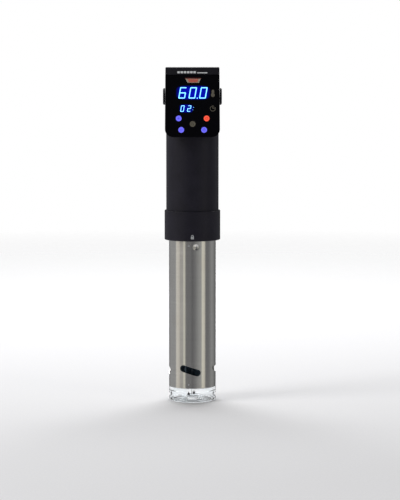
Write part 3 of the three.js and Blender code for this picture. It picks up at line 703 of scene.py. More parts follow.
def lit(name, base, glow, strength):
    """A lit segment or key: uneven light through a diffuser."""
    shader = Shader(name)
    cloud = shader.noise(700, detail=2)
    shader.set(
        Base_Color=shader.blend(shader.range(cloud, 0, 1), scaled(base, 0.8), base),
        Roughness=shader.range(cloud, 0.25, 0.4),
        Specular_IOR_Level=0.2,
        Emission_Color=glow,
        Emission_Strength=shader.range(cloud, strength * 0.88, strength * 1.12),
    )
    return shader.material


def printed(name, base):
    """Pad-printed ink with a slightly uneven cover."""
    shader = Shader(name)
    cover = shader.noise(1400, detail=3)
    shader.set(
        Base_Color=shader.blend(shader.range(cover, 0, 1), scaled(base, 0.75), base),
        Roughness=shader.range(cover, 0.42, 0.58),
        Normal=shader.bump(cover, 0.1, 0.03 * MM),
    )
    return shader.material


SATIN_BLACK = moulded_plastic("satin_black", (0.0135, 0.0125, 0.0205), 0.46)
# The same satin black plastic as the body, made darker for the head's pieces: painted shade that keeps the
# brow, the top and the ears dark under the top light. Its edges are lightened less.
SHADED_HEAD_BLACK = moulded_plastic("head_black", (0.0075, 0.0072, 0.0115), 0.42, wear_and_sheen=0.2)
GLOSS_BLACK = gloss_panel("gloss_black")
STEEL = brushed_steel("brushed_steel", (0.615, 0.605, 0.575), 0.19, 0.93, 5200)
ROD_STEEL = brushed_steel("rod_steel", (0.58, 0.56, 0.53), 0.2, 0.4, 3000)
CLEAR = clear_plastic("clear_cap")
RUBBER = rubber("black_rubber", (0.01, 0.01, 0.0105))
SILICONE = rubber("red_silicone", (0.3, 0.05, 0.03), 0.6)
GREY_NYLON = moulded_plastic("grey_nylon", (0.036, 0.038, 0.042), 0.4, grain=0.2)
SLATE_NYLON = moulded_plastic("slate_nylon", (0.1, 0.15, 0.2), 0.22, grain=0.2)
DARK_PLASTIC = moulded_plastic("dark_plastic", (0.015, 0.017, 0.02), 0.45, grain=0.2)
BLUE_PLASTIC = moulded_plastic("blue_plastic", (0.01, 0.05, 0.25), 0.4, grain=0.2)
BRONZE = plain_metal("sintered_bronze", (0.4, 0.24, 0.1), 0.42, grain=0.3)
ZINC = plain_metal("bright_zinc", (0.5, 0.5, 0.52), 0.32)
ALUMINIUM = plain_metal("extruded_aluminium", (0.6, 0.61, 0.63), 0.35)
BOARD_GREEN = circuit_board("circuit_board")
TAPE = taped_winding("winding_tape")
SEGMENT = lit("segment_light", (0.1, 0.5, 0.9), (0.32, 0.86, 1.0), 1.4)
SEGMENT_HALO = lit("segment_halo", (0.0, 0.03, 0.5), (0.01, 0.16, 1.0), 0.95)
DISPLAY_BACK = lit("display_backlight", (0.005, 0.01, 0.3), (0.0, 0.01, 0.9), 0.5)
KEY_BLUE = lit("key_blue", (0.05, 0.05, 0.2), (0.155, 0.148, 1.0), 0.95)
KEY_RED = lit("key_red", (0.2, 0.03, 0.02), (1.0, 0.105, 0.055), 0.95)
KEY_UNLIT = printed("key_unlit", (0.155, 0.14, 0.1))
ICON_ON_BLUE = lit("icon_on_blue", (0.02, 0.02, 0.1), (0.09, 0.085, 0.75), 0.75)
ICON_ON_RED = lit("icon_on_red", (0.1, 0.01, 0.01), (0.8, 0.05, 0.025), 0.75)
ICON_ON_UNLIT = printed("icon_on_unlit", (0.05, 0.045, 0.032))
ICON_GREY = printed("icon_grey", (0.15, 0.135, 0.1))
PALE_INK = printed("pale_ink", (0.5, 0.52, 0.54))
BAND_INK = printed("band_ink", (0.8, 0.83, 0.86))
RED_INK = printed("red_ink", (0.68, 0.15, 0.1))
DARK_RED_INK = printed("dark_red_ink", (0.2, 0.02, 0.015))
BEIGE_INK = printed("beige_ink", (0.48, 0.41, 0.32))
BLACK_INK = printed("black_ink", (0.008, 0.008, 0.009))
GREY_INK = printed("grey_ink", (0.1, 0.1, 0.105))

# a key's face, its symbol and its slot, by its state
KEY_FINISHES = {
    "blue": (KEY_BLUE, ICON_ON_BLUE, "key_blue"),
    "red": (KEY_RED, ICON_ON_RED, "key_red"),
    "unlit": (KEY_UNLIT, ICON_ON_UNLIT, "key_unlit"),
}


# ---- end cap ----
def inlet_outline():
    """One floor opening: a ring's quarter, kept clear of the two spokes beside it."""
    outer, inner = CAP_INLET["outer"], CAP_INLET["inner"]
    half = CAP["spoke"] / 2
    outer_reach = 45 - math.degrees(math.asin(half / outer))
    inner_reach = 45 - math.degrees(math.asin(half / inner))
    return arc(0, 0, outer, -outer_reach, outer_reach, 24) + arc(0, 0, inner, inner_reach, -inner_reach, 10)


def make_end_cap():
    """A clear cup with four side windows, four floor inlets between spokes, and a hub."""
    shoulder = SKIRT_LOW - GAP
    bore = SKIRT_RADIUS - CAP["wall"]
    spigot = SKIRT_RADIUS - SKIRT_WALL - 2 * GAP
    profile = [
        (0, CAP_LOW),
        (SKIRT_RADIUS - CAP["chamfer"], CAP_LOW),
        (SKIRT_RADIUS, CAP_LOW + CAP["chamfer"]),
        (SKIRT_RADIUS, shoulder),
        (spigot, shoulder),
        (spigot, CAP_SPIGOT_TOP),
        (spigot - CAP["wall"], CAP_SPIGOT_TOP),
        (spigot - CAP["wall"], CAP_SPIGOT_LOW),
        (bore, CAP_SPIGOT_LOW - CAP["step"]),
        (bore, CAP["floor"]),
        (CAP["hub"], CAP["floor"]),
        (CAP["hub"], CAP["hub_height"]),
        (0, CAP["hub_height"]),
    ]
    cap = turned(filleted(profile, 0.5 * MM), 128)
    inlets = []
    windows = []
    for quarter in range(4):
        inlets.append(rotated(prism(inlet_outline(), "z", -1 * MM, CAP["floor"] + 1 * MM), 90 * quarter))
        half = CAP_WINDOW["half"]
        window = block(20 * MM, 30 * MM, -half, half, CAP_WINDOW["low"], CAP_WINDOW["high"])
        windows.append(rotated(window, 90 * quarter))
    cut(cap, joined(inlets), joined(windows))
    softened(cap, 0.35 * MM)
    finished(cap, "clear_end_cap", "cap", CLEAR, "clear_polycarbonate", ["end_cap"])


# ---- steel skirt ----
def dimple_depth(angle, z):
    """How far the skirt's wall is pressed in at a place on it."""
    deepest = 0.0
    for i in range(DIMPLE["count"]):
        centre = math.radians(DIMPLE["turn"] - 90 + i * 360 / DIMPLE["count"])
        turn = (angle - centre + math.pi) % (2 * math.pi) - math.pi
        away = math.hypot(turn * SKIRT_RADIUS, z - DIMPLE["z"]) / DIMPLE["radius"]
        if away < 1:
            deepest = DIMPLE["depth"] * (1 - away**2) ** DIMPLE["fall"]
    return deepest


def obround(length, width, slant, steps=16):
    """A bar's outline with round ends, turned by slant degrees."""
    reach = (length - width) / 2
    du = math.cos(math.radians(slant)) * reach
    dv = math.sin(math.radians(slant)) * reach
    right = arc(du, dv, width / 2, slant - 90, slant + 90, steps)
    left = arc(-du, -dv, width / 2, slant + 90, slant + 270, steps)
    return right + left


def make_skirt():
    """A thin tube whose rows are close enough at the dimples to press them in."""
    columns = 264
    step = 0.45 * MM
    half_zone = DIMPLE["radius"] + 0.5 * MM
    rows = [SKIRT_LOW + SKIRT_RIM, SKIRT_LOW + SKIRT_EDGE, SKIRT_LOW + 60 * MM, SKIRT_LOW + 120 * MM]
    z = DIMPLE["z"] - half_zone
    while z < DIMPLE["z"] + half_zone:
        rows.append(z)
        z += step
    rows += [DIMPLE["z"] + half_zone + step, SKIRT_TOP - SKIRT_EDGE, SKIRT_TOP - SKIRT_RIM]
    bore = SKIRT_RADIUS - SKIRT_WALL
    outer = [(SKIRT_RADIUS, z) for z in rows]
    inner = [(bore, z) for z in reversed(rows)]
    top_rim = [(SKIRT_RADIUS - SKIRT_RIM, SKIRT_TOP), (bore + SKIRT_RIM, SKIRT_TOP)]
    low_rim = [(bore + SKIRT_RIM, SKIRT_LOW), (SKIRT_RADIUS - SKIRT_RIM, SKIRT_LOW)]
    skirt = turned(outer + top_rim + inner + low_rim, columns)
    for vertex in skirt.data.vertices:
        x, y, z = vertex.co
        radius = math.hypot(x, y)
        pressed = radius - dimple_depth(math.atan2(y, x), z)
        vertex.co.x *= pressed / radius
        vertex.co.y *= pressed / radius
    outline = obround(SKIRT_SLOT["length"], SKIRT_SLOT["width"], SKIRT_SLOT["slant"])
    slots = []
    for i in range(SKIRT_SLOT["count"]):
        slot = prism(outline, "y", -SKIRT_RADIUS - 1 * MM, -SKIRT_RADIUS * 0.7)
        moved(slot, 0, 0, SKIRT_SLOT["z"])
        slots.append(rotated(slot, SKIRT_SLOT["turn"] + i * 360 / SKIRT_SLOT["count"]))
    cut(skirt, joined(slots))
    softened(skirt, 0.3 * MM, segments=3, angle=50)
    finished(skirt, "slotted_skirt", "skirt", STEEL, "brushed_stainless", ["steel_skirt"], sharp=60)


# ---- collar, spigot and seals ----
def make_collar():
    """A ring round the skirt's top, its bore wider round the body's foot."""
    bore = SKIRT_RADIUS + GAP
    rim_bore = BODY_RADIUS + 2 * GAP
    profile = [
        (bore, COLLAR_LOW),
        (COLLAR_RADIUS, COLLAR_LOW),
        (COLLAR_RADIUS, COLLAR_TOP),
        (rim_bore, COLLAR_TOP),
        (rim_bore, COLLAR_STEP),
        (bore, COLLAR_STEP),
    ]
    collar = turned(filleted(profile, 1.1 * MM, steps=6))
    finished(collar, "locking_collar", "body", SATIN_BLACK, "satin_black_plastic", ["lock_collar"])


def make_spigot():
    """The sleeve that the skirt slides on: a seal groove, a flange and the dimples' open grooves."""
    profile = [
        (SPIGOT["bore"], SPIGOT_LOW),
        (SPIGOT["radius"], SPIGOT_LOW),
        (SPIGOT["radius"], SPIGOT["groove_low"]),
        (SPIGOT["groove"], SPIGOT["groove_low"]),
        (SPIGOT["groove"], SPIGOT["groove_high"]),
        (SPIGOT["radius"], SPIGOT["groove_high"]),
        (SPIGOT["radius"], COLLAR_STEP + GAP),
        (BODY_RADIUS, COLLAR_STEP + GAP),
        (BODY_RADIUS, SPIGOT_TOP),
        (SPIGOT["bore"], SPIGOT_TOP),
    ]
    spigot = turned(filleted(profile, 0.4 * MM))
    half = DIMPLE["radius"] + 0.9 * MM
    reach = SKIRT_RADIUS - SKIRT_WALL - DIMPLE["depth"] - 3 * GAP
    grooves = []
    for i in range(DIMPLE["count"]):
        groove = block(-half, half, -SKIRT_RADIUS, -reach, SPIGOT_LOW - 1 * MM, DIMPLE["z"] + half)
        grooves.append(rotated(groove, DIMPLE["turn"] + i * 360 / DIMPLE["count"]))
    cut(spigot, joined(grooves))
    softened(spigot, 0.25 * MM)
    finished(spigot, "grooved_spigot", "body", GREY_NYLON, "grey_nylon", ["skirt_spigot"])


def make_seal_ring():
    """An oval section between the groove's floor and the skirt."""
    bottom, top = low("spigot_seal_ring").z, high("spigot_seal_ring").z
    outer = high("spigot_seal_ring").x
    inner = SPIGOT["groove"] + GAP
    middle_x, middle_z = (inner + outer) / 2, (bottom + top) / 2
    half_width, half_height = (outer - inner) / 2, (top - bottom) / 2
    section = [(middle_x + half_width * u, middle_z + half_height * v) for u, v in circle(0, 0, 1, 24)]
    ring = turned(section, 128)
    finished(ring, "seal_ring", "body", SILICONE, "red_silicone", ["spigot_seal_ring"])


# ---- heater, probes and shaft ----
def smooth_path(points, steps):
    """A centripetal curve through the points, with a number of steps in each span."""
    ends = [points[0] * 2 - points[1]] + points + [points[-1] * 2 - points[-2]]
    path = []
    for a, b, c, d in zip(ends, ends[1:], ends[2:], ends[3:]):
        knots = [0.0]
        for p, q in ((a, b), (b, c), (c, d)):
            knots.append(knots[-1] + math.sqrt((q - p).length))
        for step in range(steps):
            t = knots[1] + (knots[2] - knots[1]) * step / steps
            row = [a, b, c, d]
            for level in range(1, 4):
                row = [
                    mixed(row[i], row[i + 1], t, *knot_pair(knots, i, level))
                    for i in range(len(row) - 1)
                ]
            path.append(row[0])
    path.append(points[-1])
    return path


def knot_pair(knots, i, level):
    """The two knots that a level of the curve's blending runs between."""
    if level == 1:
        return knots[i], knots[i + 1]
    if level == 2:
        return knots[i], knots[i + 2]
    return knots[1], knots[2]


def mixed(p, q, t, start, end):
    share = (t - start) / (end - start)
    return p * (1 - share) + q * share


def on_circle(radius, turn, z):
    angle = math.radians(turn)
    return Vector((radius * math.sin(angle), -radius * math.cos(angle), z))


def coil_points(leg_top):
    """The heater's centreline: down the inner leg, up the helix, then up the outer leg."""
    bottom, pitch, radius, leg = COIL["bottom"], COIL["pitch"], COIL["radius"], COIL["inner_leg"]
    leg_turn = COIL["inner_turn"]
    points = [on_circle(leg, leg_turn, z) for z in (leg_top, bottom + 4 * pitch, bottom + pitch)]
    points += [
        on_circle(leg + 1 * MM, leg_turn + 14, bottom + 3 * MM),
        on_circle(radius - 2 * MM, leg_turn + 44, bottom - 1 * MM),
    ]
    for i in range(COIL["steps_per_turn"] * COIL["turns"] + 1):
        turn = i * 360 / COIL["steps_per_turn"]
        points.append(on_circle(radius, turn, bottom + pitch * turn / 360))
    leg_turn = 360 * COIL["turns"] + COIL["outer_turn"]
    coil_top = bottom + pitch * COIL["turns"]
    points.append(on_circle(radius, leg_turn - 17, coil_top + 3 * MM))
    points += [on_circle(radius, leg_turn, z) for z in (coil_top + 10 * MM, coil_top + 20 * MM, leg_top)]
    return points


def swept(path, radius, sides):
    """A round tube along a path, closed at both ends."""
    shape = bmesh.new()
    side = Vector((1, 0, 0))
    rings = []
    for i, point in enumerate(path):
        ahead = (path[min(i + 1, len(path) - 1)] - path[max(i - 1, 0)]).normalized()
        side = (side - ahead * side.dot(ahead)).normalized()
        other = ahead.cross(side)
        ring = []
        for k in range(sides):
            angle = 2 * math.pi * k / sides
            ring.append(shape.verts.new(point + (side * math.cos(angle) + other * math.sin(angle)) * radius))
        rings.append(ring)
    skinned(shape, rings)
    shape.faces.new(rings[0])
    shape.faces.new(rings[-1])
    return placed(shape, "swept")


def make_coil():
    """The heater tube, swept smooth in place of its faceted solid."""
    path = smooth_path(coil_points(high("heater_coil").z), 4)
    coil = swept(path, COIL["tube"], 18)
    finished(coil, "heater_tube_coil", "body", ROD_STEEL, "brushed_stainless", ["heater_coil"])


def make_rods():
    """The probes and the shaft, turned smooth in place of their faceted solids."""
    for node in ("temperature_probe", "level_probe_long", "level_probe_short"):
        bottom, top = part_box(node)
        centre = (bottom + top) / 2
        radius = (top.x - bottom.x) / 2
        probe = disc(radius, bottom.z, top.z, rounding=radius * 0.9)
        moved(probe, centre.x, centre.y, 0)
        finished(probe, f"{node}_rod", "body", ROD_STEEL, "brushed_stainless", [node])
    shaft = disc(SHAFT_RADIUS, low("drive_shaft").z, high("drive_shaft").z, rounding=0.4 * MM)
    finished(shaft, "turned_shaft", "rotor", ROD_STEEL, "brushed_stainless", ["drive_shaft"])
    outer = high("shaft_tube").x
    sleeve = tube(outer, outer - SHAFT_TUBE_WALL, low("shaft_tube").z, high("shaft_tube").z)
    finished(sleeve, "shaft_sleeve", "body", ROD_STEEL, "brushed_stainless", ["shaft_tube"])


# ---- wheels ----
def blade_outline(radius, hub, thickness):
    """A swept blade in plan, from inside the hub to the wheel's rim."""
    sweep = radius * BLADE["sweep"]
    start = hub * BLADE["root"]
    reach = math.degrees(2 * math.asin((radius - start) / (2 * sweep)))
    outer = arc(start, sweep, sweep + thickness / 2, -90, -90 + reach, 14)
    inner = arc(start, sweep, sweep - thickness / 2, -90 + reach, -90, 14)
    return outer + inner


def make_wheel(node, material, slot):
    """A hub on the shaft, a disc and swept blades."""
    wheel = WHEELS[node]
    bottom, top = low(node).z, high(node).z
    radius = high(node).x
    parts = [
        tube(wheel["hub"], SHAFT_RADIUS + GAP, bottom, top, rounding=0.5 * MM),
        tube(radius * WHEEL_DISC, SHAFT_RADIUS + GAP, bottom, bottom + wheel["disc"], 96, 0.4 * MM),
    ]
    outline = blade_outline(radius * BLADE["reach"], wheel["hub"], wheel["thickness"])
    for i in range(wheel["blades"]):
        blade = prism(outline, "z", bottom + 0.1 * MM, top - 0.1 * MM)
        softened(blade, 0.3 * MM)
        parts.append(rotated(blade, i * 360 / wheel["blades"]))
    finished(joined(parts), f"{node}_wheel", "rotor", material, slot, [node])


# ---- body shells ----
def body_form(shrink, bottom):
    """The body's outside, or its inside when shrunk: a tube, a shoulder and a domed knuckle."""
    radius = BODY_RADIUS - shrink
    knuckle = KNUCKLE_RADIUS - shrink
    half_width = KNUCKLE_HALF_WIDTH - shrink
    shoulder = SHOULDER_Z - shrink
    form = turned([(0, bottom), (radius, bottom), (radius, TOP_Z), (0, TOP_Z)])
    wide = 2 * BODY_RADIUS
    dome = [(-wide, bottom - 1 * MM), (wide, bottom - 1 * MM), (wide, PIVOT_Z)]
    dome += arc(0, PIVOT_Z, knuckle, 0, 180, 64) + [(-wide, PIVOT_Z)]
    combined(form, prism(dome, "x", -wide, wide), "INTERSECT")
    for side in (-1, 1):
        edges = sorted((side * half_width, side * wide))
        cut(form, block(*edges, -wide, wide, shoulder, TOP_Z + 1 * MM))
    return form


def along_y(radius, start, end, x=0.0, z=0.0):
    return moved(rotated(rod(radius, start, end), -90, "X"), x, 0, z)


def pin_hole():
    """A cutter for the pivot pins' holes, right through."""
    reach = 40 * MM
    return moved(rotated(rod(PIN_RADIUS + GAP, -reach, reach), 90, "Y"), 0, 0, PIVOT_Z)


def screw_places():
    return [(x, z) for z in SCREW["heights"] for x in (-SCREW["x"], SCREW["x"])]


def screw_hole(x, z):
    """A pilot hole with a recess for the head, as one stepped cutter."""
    pilot, start = SCREW["pilot"], -SCREW["reach"]
    recess = SCREW["head"] + 0.4 * MM
    seat = SCREW["seat"] - 0.2 * MM
    end = 2 * BODY_RADIUS
    profile = [(0, start), (pilot, start), (pilot, seat), (recess, seat), (recess, end), (0, end)]
    return moved(rotated(turned(profile, SMALL_SIDES), -90, "X"), x, 0, z)


def make_body_shells():
    """Two halves that meet along the sides. The front half's thin lip reaches behind the rear half."""
    wide = 2 * BODY_RADIUS
    over = TOP_Z + 10 * MM
    outside = body_form(0, COLLAR_TOP)
    cavity = body_form(BODY_WALL, COLLAR_TOP - 2 * MM)
    bosses = [along_y(SCREW["boss"], -BODY_RADIUS, BODY_RADIUS, x, z) for x, z in screw_places()]
    cut(cavity, joined(bosses))
    cut(outside, cavity, pin_hole())
    for side, name in ((-1, "front_shell"), (1, "rear_shell")):
        shell = copy_of(outside)
        lap = body_form((BODY_WALL - side * GAP) / 2, COLLAR_TOP - 1 * MM)
        if side < 0:
            cut(lap, block(-wide, wide, SHELL_LAP, wide, 0, over))
            beyond = block(-wide, wide, -SHELL_SEAM / 2, wide, 0, over)
            cut(shell, cut(beyond, lap))
        else:
            cut(lap, block(-wide, wide, SHELL_LAP + GAP, wide, 0, over))
            cut(shell, block(-wide, wide, -wide, SHELL_SEAM / 2, 0, over), lap)
            cut(shell, joined(vent_cutters()), along_y(GLAND["hole"], 0, wide, z=GLAND_Z))
        cut(shell, joined([screw_hole(x, z) for x, z in screw_places()]))
        softened(shell, 0.35 * MM)
        cleaned(shell)
        finished(shell, name, "body", SATIN_BLACK, "satin_black_plastic", [f"body_{name}"])
    bpy.data.objects.remove(outside)


def vent_cutters():
    """Rows of upright air slots with round ends, across the back."""
    outline = obround(VENT["height"], VENT["width"], 90, 8)
    cutters = []
    for z in VENT["heights"]:
        for i in range(VENT["count"]):
            slot = prism(outline, "y", BODY_RADIUS - 2 * BODY_WALL, BODY_RADIUS + 1 * MM)
            moved(slot, 0, 0, z)
            cutters.append(rotated(slot, (i - (VENT["count"] - 1) / 2) * VENT["turn"]))
    return cutters


def make_screws():
    """Cross-head screws, deep in their recesses."""
    for i, (x, z) in enumerate(screw_places(), start=1):
        node = f"shell_screw_{i}"
        tip, top = low(node).y, high(node).y
        seat = top - SCREW["head_height"]
        shank, head = SCREW["shank"], SCREW["head"]
        profile = [(0, tip), (shank, tip), (shank, seat), (head, seat), (head, top), (0, top)]
        screw = turned(filleted(profile, 0.6 * MM), 40)
        arm, slim, depth = SCREW["cross"]
        for half_x, half_y in ((arm, slim), (slim, arm)):
            cut(screw, block(-half_x, half_x, -half_y, half_y, top - depth, top + 1 * MM))
        rotated(screw, -90, "X")
        moved(screw, x, 0, z)
        finished(screw, f"cross_screw_{i}", "body", ZINC, "zinc_plated_steel", [node])


def make_gland():
    """Rubber bush for the mains cord, with ribs round its nose."""
    inside = low("cord_inlet_gland").y
    outside = BODY_RADIUS + GAP
    flange_end = outside + GLAND["flange_thickness"]
    sleeve = GLAND["hole"] - GAP
    nose = sleeve - GLAND["nose_step"]
    valley = nose - GLAND["rib_depth"]
    profile = [
        (GLAND["bore"], inside),
        (sleeve, inside),
        (sleeve, outside),
        (GLAND["flange"], outside),
        (GLAND["flange"], flange_end),
    ]
    rib = GLAND["rib"]
    y = flange_end
    while y + rib < GLAND_END - rib / 2:
        profile += [(valley, y), (valley, y + rib / 2), (nose, y + rib / 2), (nose, y + rib)]
        y += rib
    profile += [(nose, GLAND_END), (GLAND["bore"], GLAND_END)]
    gland = turned(filleted(profile, 0.3 * MM), 64)
    rotated(gland, -90, "X")
    moved(gland, 0, 0, GLAND_Z)
    finished(gland, "cord_gland", "body", RUBBER, "black_rubber", ["cord_inlet_gland"])


# ---- head ----
def head_outline(inset, top):
    """The head's outline in (x, z): square at the top, rounded at the bottom corners."""
    half = HEAD_HALF_WIDTH - inset
    bottom = HEAD_LOW + inset
    corner = HEAD_CORNER - inset
    left = arc(-half + corner, bottom + corner, corner, 180, 270, 14)
    right = arc(half - corner, bottom + corner, corner, 270, 360, 14)
    return [(half, top), (-half, top)] + left + right


def cheek_outline(tray_floor):
    """One cheek in (y, z): a disc round the pivot, run into the tray and under the hood."""
    front_low = PIVOT_Z + CHEEK["front_low"]
    radius = CHEEK["radius"]
    start = 180 + math.degrees(math.asin(-CHEEK["front_low"] / radius))
    hood = HOOD_INNER - 2 * GAP
    back = low("head_hood").y + CHEEK["back"]
    outline = [(tray_floor, front_low)]
    outline += arc(0, PIVOT_Z, radius, start, 360 + HOOD_END_ANGLE, 60)
    outline += arc(0, PIVOT_Z, hood, HOOD_END_ANGLE, 90, 20)
    outline += [(back, PIVOT_Z + hood), (back, PANEL_TOP), (tray_floor, PANEL_TOP)]
    return outline


def make_head_housing():
    """A shallow tray behind the panel, with a cheek on each side that the pins go through."""
    back = HEAD_FRONT + TRAY_DEPTH
    tray_front = HEAD_FRONT + PANEL_THICKNESS + GAP
    tray = prism(head_outline(0, PANEL_TOP), "y", tray_front, back)
    hollow = head_outline(TRAY_RIM, PANEL_TOP - TRAY_RIM)
    cut(tray, prism(hollow, "y", tray_front - 1 * MM, back - TRAY_RIM))
    for side in (-1, 1):
        inner = CHEEK["inner"] / (1 - HEAD_TAPER)  # the taper must not bring it onto the washer
        edges = sorted((side * inner, side * (HEAD_HALF_WIDTH - CHEEK["inset"])))
        cheek = prism(cheek_outline(back - TRAY_RIM), "x", *edges)
        combined(tray, cut(cheek, pin_hole()), "UNION")
    softened(tray, 0.6 * MM, segments=3)
    tapered(tray)
    finished(tray, "head_tray", "head", SHADED_HEAD_BLACK, "satin_black_plastic", ["head_housing"])


def make_hood():
    """Sloping brow above the panel, flat top, and an arc that follows the knuckle backwards."""
    outer = TOP_Z - PIVOT_Z
    back = HEAD_FRONT + TRAY_DEPTH + GAP
    front_low = PANEL_TOP + GAP
    profile = [(HEAD_FRONT, front_low), (back, front_low), (back, PIVOT_Z + HOOD_INNER)]
    profile += arc(0, PIVOT_Z, HOOD_INNER, 90, HOOD_END_ANGLE, 30)
    profile += arc(0, PIVOT_Z, outer, HOOD_END_ANGLE, 90, 30)
    profile += [(HOOD_TOP_FRONT, PIVOT_Z + outer)]
    hood = prism(profile, "x", -HEAD_HALF_WIDTH, HEAD_HALF_WIDTH)
    softened(hood, 0.7 * MM, segments=4)
    tapered(hood)
    finished(hood, "brow_hood", "head", SHADED_HEAD_BLACK, "satin_black_plastic", ["head_hood"])


def make_panel():
    """The gloss front, cut to the head's outline."""
    panel = prism(head_outline(0, PANEL_TOP), "y", HEAD_FRONT, HEAD_FRONT + PANEL_THICKNESS)
    softened(panel, 0.5 * MM, segments=4)
    tapered(panel)
    finished(panel, "display_panel", "head", GLOSS_BLACK, "gloss_black_acrylic", ["front_panel"])


def make_pivot_caps():
    """Round grips on the cheeks, knurled round their rims and chamfered."""
    inner = low("pivot_cap_right").x
    chamfer, edge, rim = EAR["chamfer"], EAR["edge"], EAR["rim"]
    columns = EAR["ridges"] * 12
    # radius, distance along the pivot and how much of the knurl's depth is cut there
    profile = [
        (0, inner, 0),
        (EAR_RADIUS - edge, inner, 1),
        (EAR_RADIUS, inner + edge, 1),
        (EAR_RADIUS, EAR_X - chamfer, 1),
        (EAR_RADIUS - chamfer * 0.55, EAR_X - chamfer * 0.35, 0.6),
        (EAR_RADIUS - chamfer * 1.1, EAR_X, 0),
        (EAR_RADIUS - rim, EAR_X, 0),
        (EAR_RADIUS - rim - edge, EAR_X - 0.4 * MM, 0),
        (0, EAR_X - 0.5 * MM, 0),
    ]
    for side, direction in (("right", 1), ("left", -1)):
        shape = bmesh.new()
        rings = []
        for radius, x, knurl in profile:
            if radius == 0:
                rings.append([shape.verts.new((x * direction, 0, 0))])
                continue
            ring = []
            for i in range(columns):
                angle = 2 * math.pi * i / columns
                groove = 0.5 * (1 - math.cos(EAR["ridges"] * angle))
                out = radius - EAR["ridge_depth"] * knurl * groove
                ring.append(shape.verts.new((x * direction, out * math.cos(angle), out * math.sin(angle))))
            rings.append(ring)
        skinned(shape, rings)
        cap = moved(placed(shape, "cap"), 0, 0, PIVOT_Z)
        node = f"pivot_cap_{side}"
        finished(cap, f"knurled_cap_{side}", "head", SHADED_HEAD_BLACK, "satin_black_plastic", [node], sharp=50)


def make_pins():
    """Pivot pins and friction washers, turned smooth."""
    for side, direction in (("right", 1), ("left", -1)):
        pin_node, washer_node = f"pivot_pin_{side}", f"friction_washer_{side}"
        start, end = sorted(abs(corner.x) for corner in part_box(pin_node))
        head, neck = PIN_HEAD["radius"], start + PIN_HEAD["thickness"]
        profile = [(0, start), (head, start), (head, neck), (PIN_RADIUS, neck), (PIN_RADIUS, end), (0, end)]
        pin = turned(filleted(profile, 0.4 * MM), SMALL_SIDES)
        moved(rotated(pin, 90 * direction, "Y"), 0, 0, PIVOT_Z)
        finished(pin, f"turned_pin_{side}", "body", ROD_STEEL, "brushed_stainless", [pin_node])
        ends = sorted(abs(corner.x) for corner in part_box(washer_node))
        washer = tube(WASHER_RADIUS, PIN_RADIUS + GAP, *ends, rounding=0.15 * MM)
        moved(rotated(washer, 90 * direction, "Y"), 0, 0, PIVOT_Z)
        finished(washer, f"bronze_washer_{side}", "body", BRONZE, "bronze", [washer_node])


# ---- printed marks and the display ----
def on_panel(u, v, out):
    """A place on the front panel, from millimetres."""
    return Vector((u * MM, HEAD_FRONT - out, v * MM))


def on_tube(radius, turn, height):
    """A way to place marks on a round surface, about a turn in degrees and a height."""

    def place(u, v, out):
        angle = math.radians(turn) + u * MM / radius
        reach = radius + out
        return Vector((reach * math.sin(angle), -reach * math.cos(angle), height + v * MM))

    return place


def on_brow(u, v, out):
    """A place on the sloping brow: v is the distance up the slope from its foot."""
    foot = Vector((0, HEAD_FRONT, PANEL_TOP + GAP))
    slope = (Vector((0, HOOD_TOP_FRONT, TOP_Z)) - foot).normalized()
    outward = Vector((0, -slope.z, slope.y))
    return foot + Vector((u * MM, 0, 0)) + slope * v * MM + outward * out


def mark(name, outlines, place, material, body, slot, lift=LIFT, step=0.5):
    """Thin raised ink: outlines in millimetres, each a list of loops, with its holes after it."""
    shape = bmesh.new()
    for loops in outlines:
        flat = [[Vector((u, v, 0)) for u, v in loop] for loop in loops]
        points = [point for loop in flat for point in loop]
        vertices = [shape.verts.new(point) for point in points]
        for triangle in tessellate_polygon(flat):
            shape.faces.new([vertices[i] for i in triangle])
    reach = [vertex.co.x for vertex in shape.verts]
    x = min(reach) + step
    while x < max(reach):
        everything = shape.verts[:] + shape.edges[:] + shape.faces[:]
        bmesh.ops.bisect_plane(shape, geom=everything, plane_co=(x, 0, 0), plane_no=(1, 0, 0))
        x += step
    top = bmesh.ops.extrude_face_region(shape, geom=shape.faces[:])
    raised = {item for item in top["geom"] if isinstance(item, bmesh.types.BMVert)}
    for vertex in shape.verts:
        out = lift + PRINT if vertex in raised else lift
        vertex.co = place(vertex.co.x, vertex.co.y, out)
    finished(placed(shape, name), name, body, material, slot)


def panel_mark(name, outlines, material, slot="key_unlit", lift=LIFT):
    mark(name, outlines, on_panel, material, "head", slot, lift, PANEL_STEP)


def slanted(points, base):
    lean = math.tan(math.radians(DIGIT_SLANT))
    return [(u + (v - base) * lean, v) for u, v in points]


def segment_outlines(digit, left, bottom, width, height, bar):
    """The lit bars of one digit, as outlines with pointed ends."""
    half = bar / 2
    gap = bar * 0.1
    point = half * 0.6
    right, top, middle = left + width, bottom + height, bottom + height / 2

    def across(v):
        start, end = left + half + gap, right - half - gap
        under = [(start - point, v), (start, v - half), (end, v - half)]
        return under + [(end + point, v), (end, v + half), (start, v + half)]

    def upright(u, start, end):
        foot, peak = start + half + gap, end - half - gap
        outer = [(u, foot - point), (u + half, foot), (u + half, peak)]
        return outer + [(u, peak + point), (u - half, peak), (u - half, foot)]

    bars = {
        "a": across(top - half),
        "b": upright(right - half, middle - half, top),
        "c": upright(right - half, bottom, middle + half),
        "d": across(bottom + half),
        "e": upright(left + half, bottom, middle + half),
        "f": upright(left + half, middle - half, top),
        "g": across(middle),
    }
    return [bars[letter] for letter in SEGMENTS[digit]]


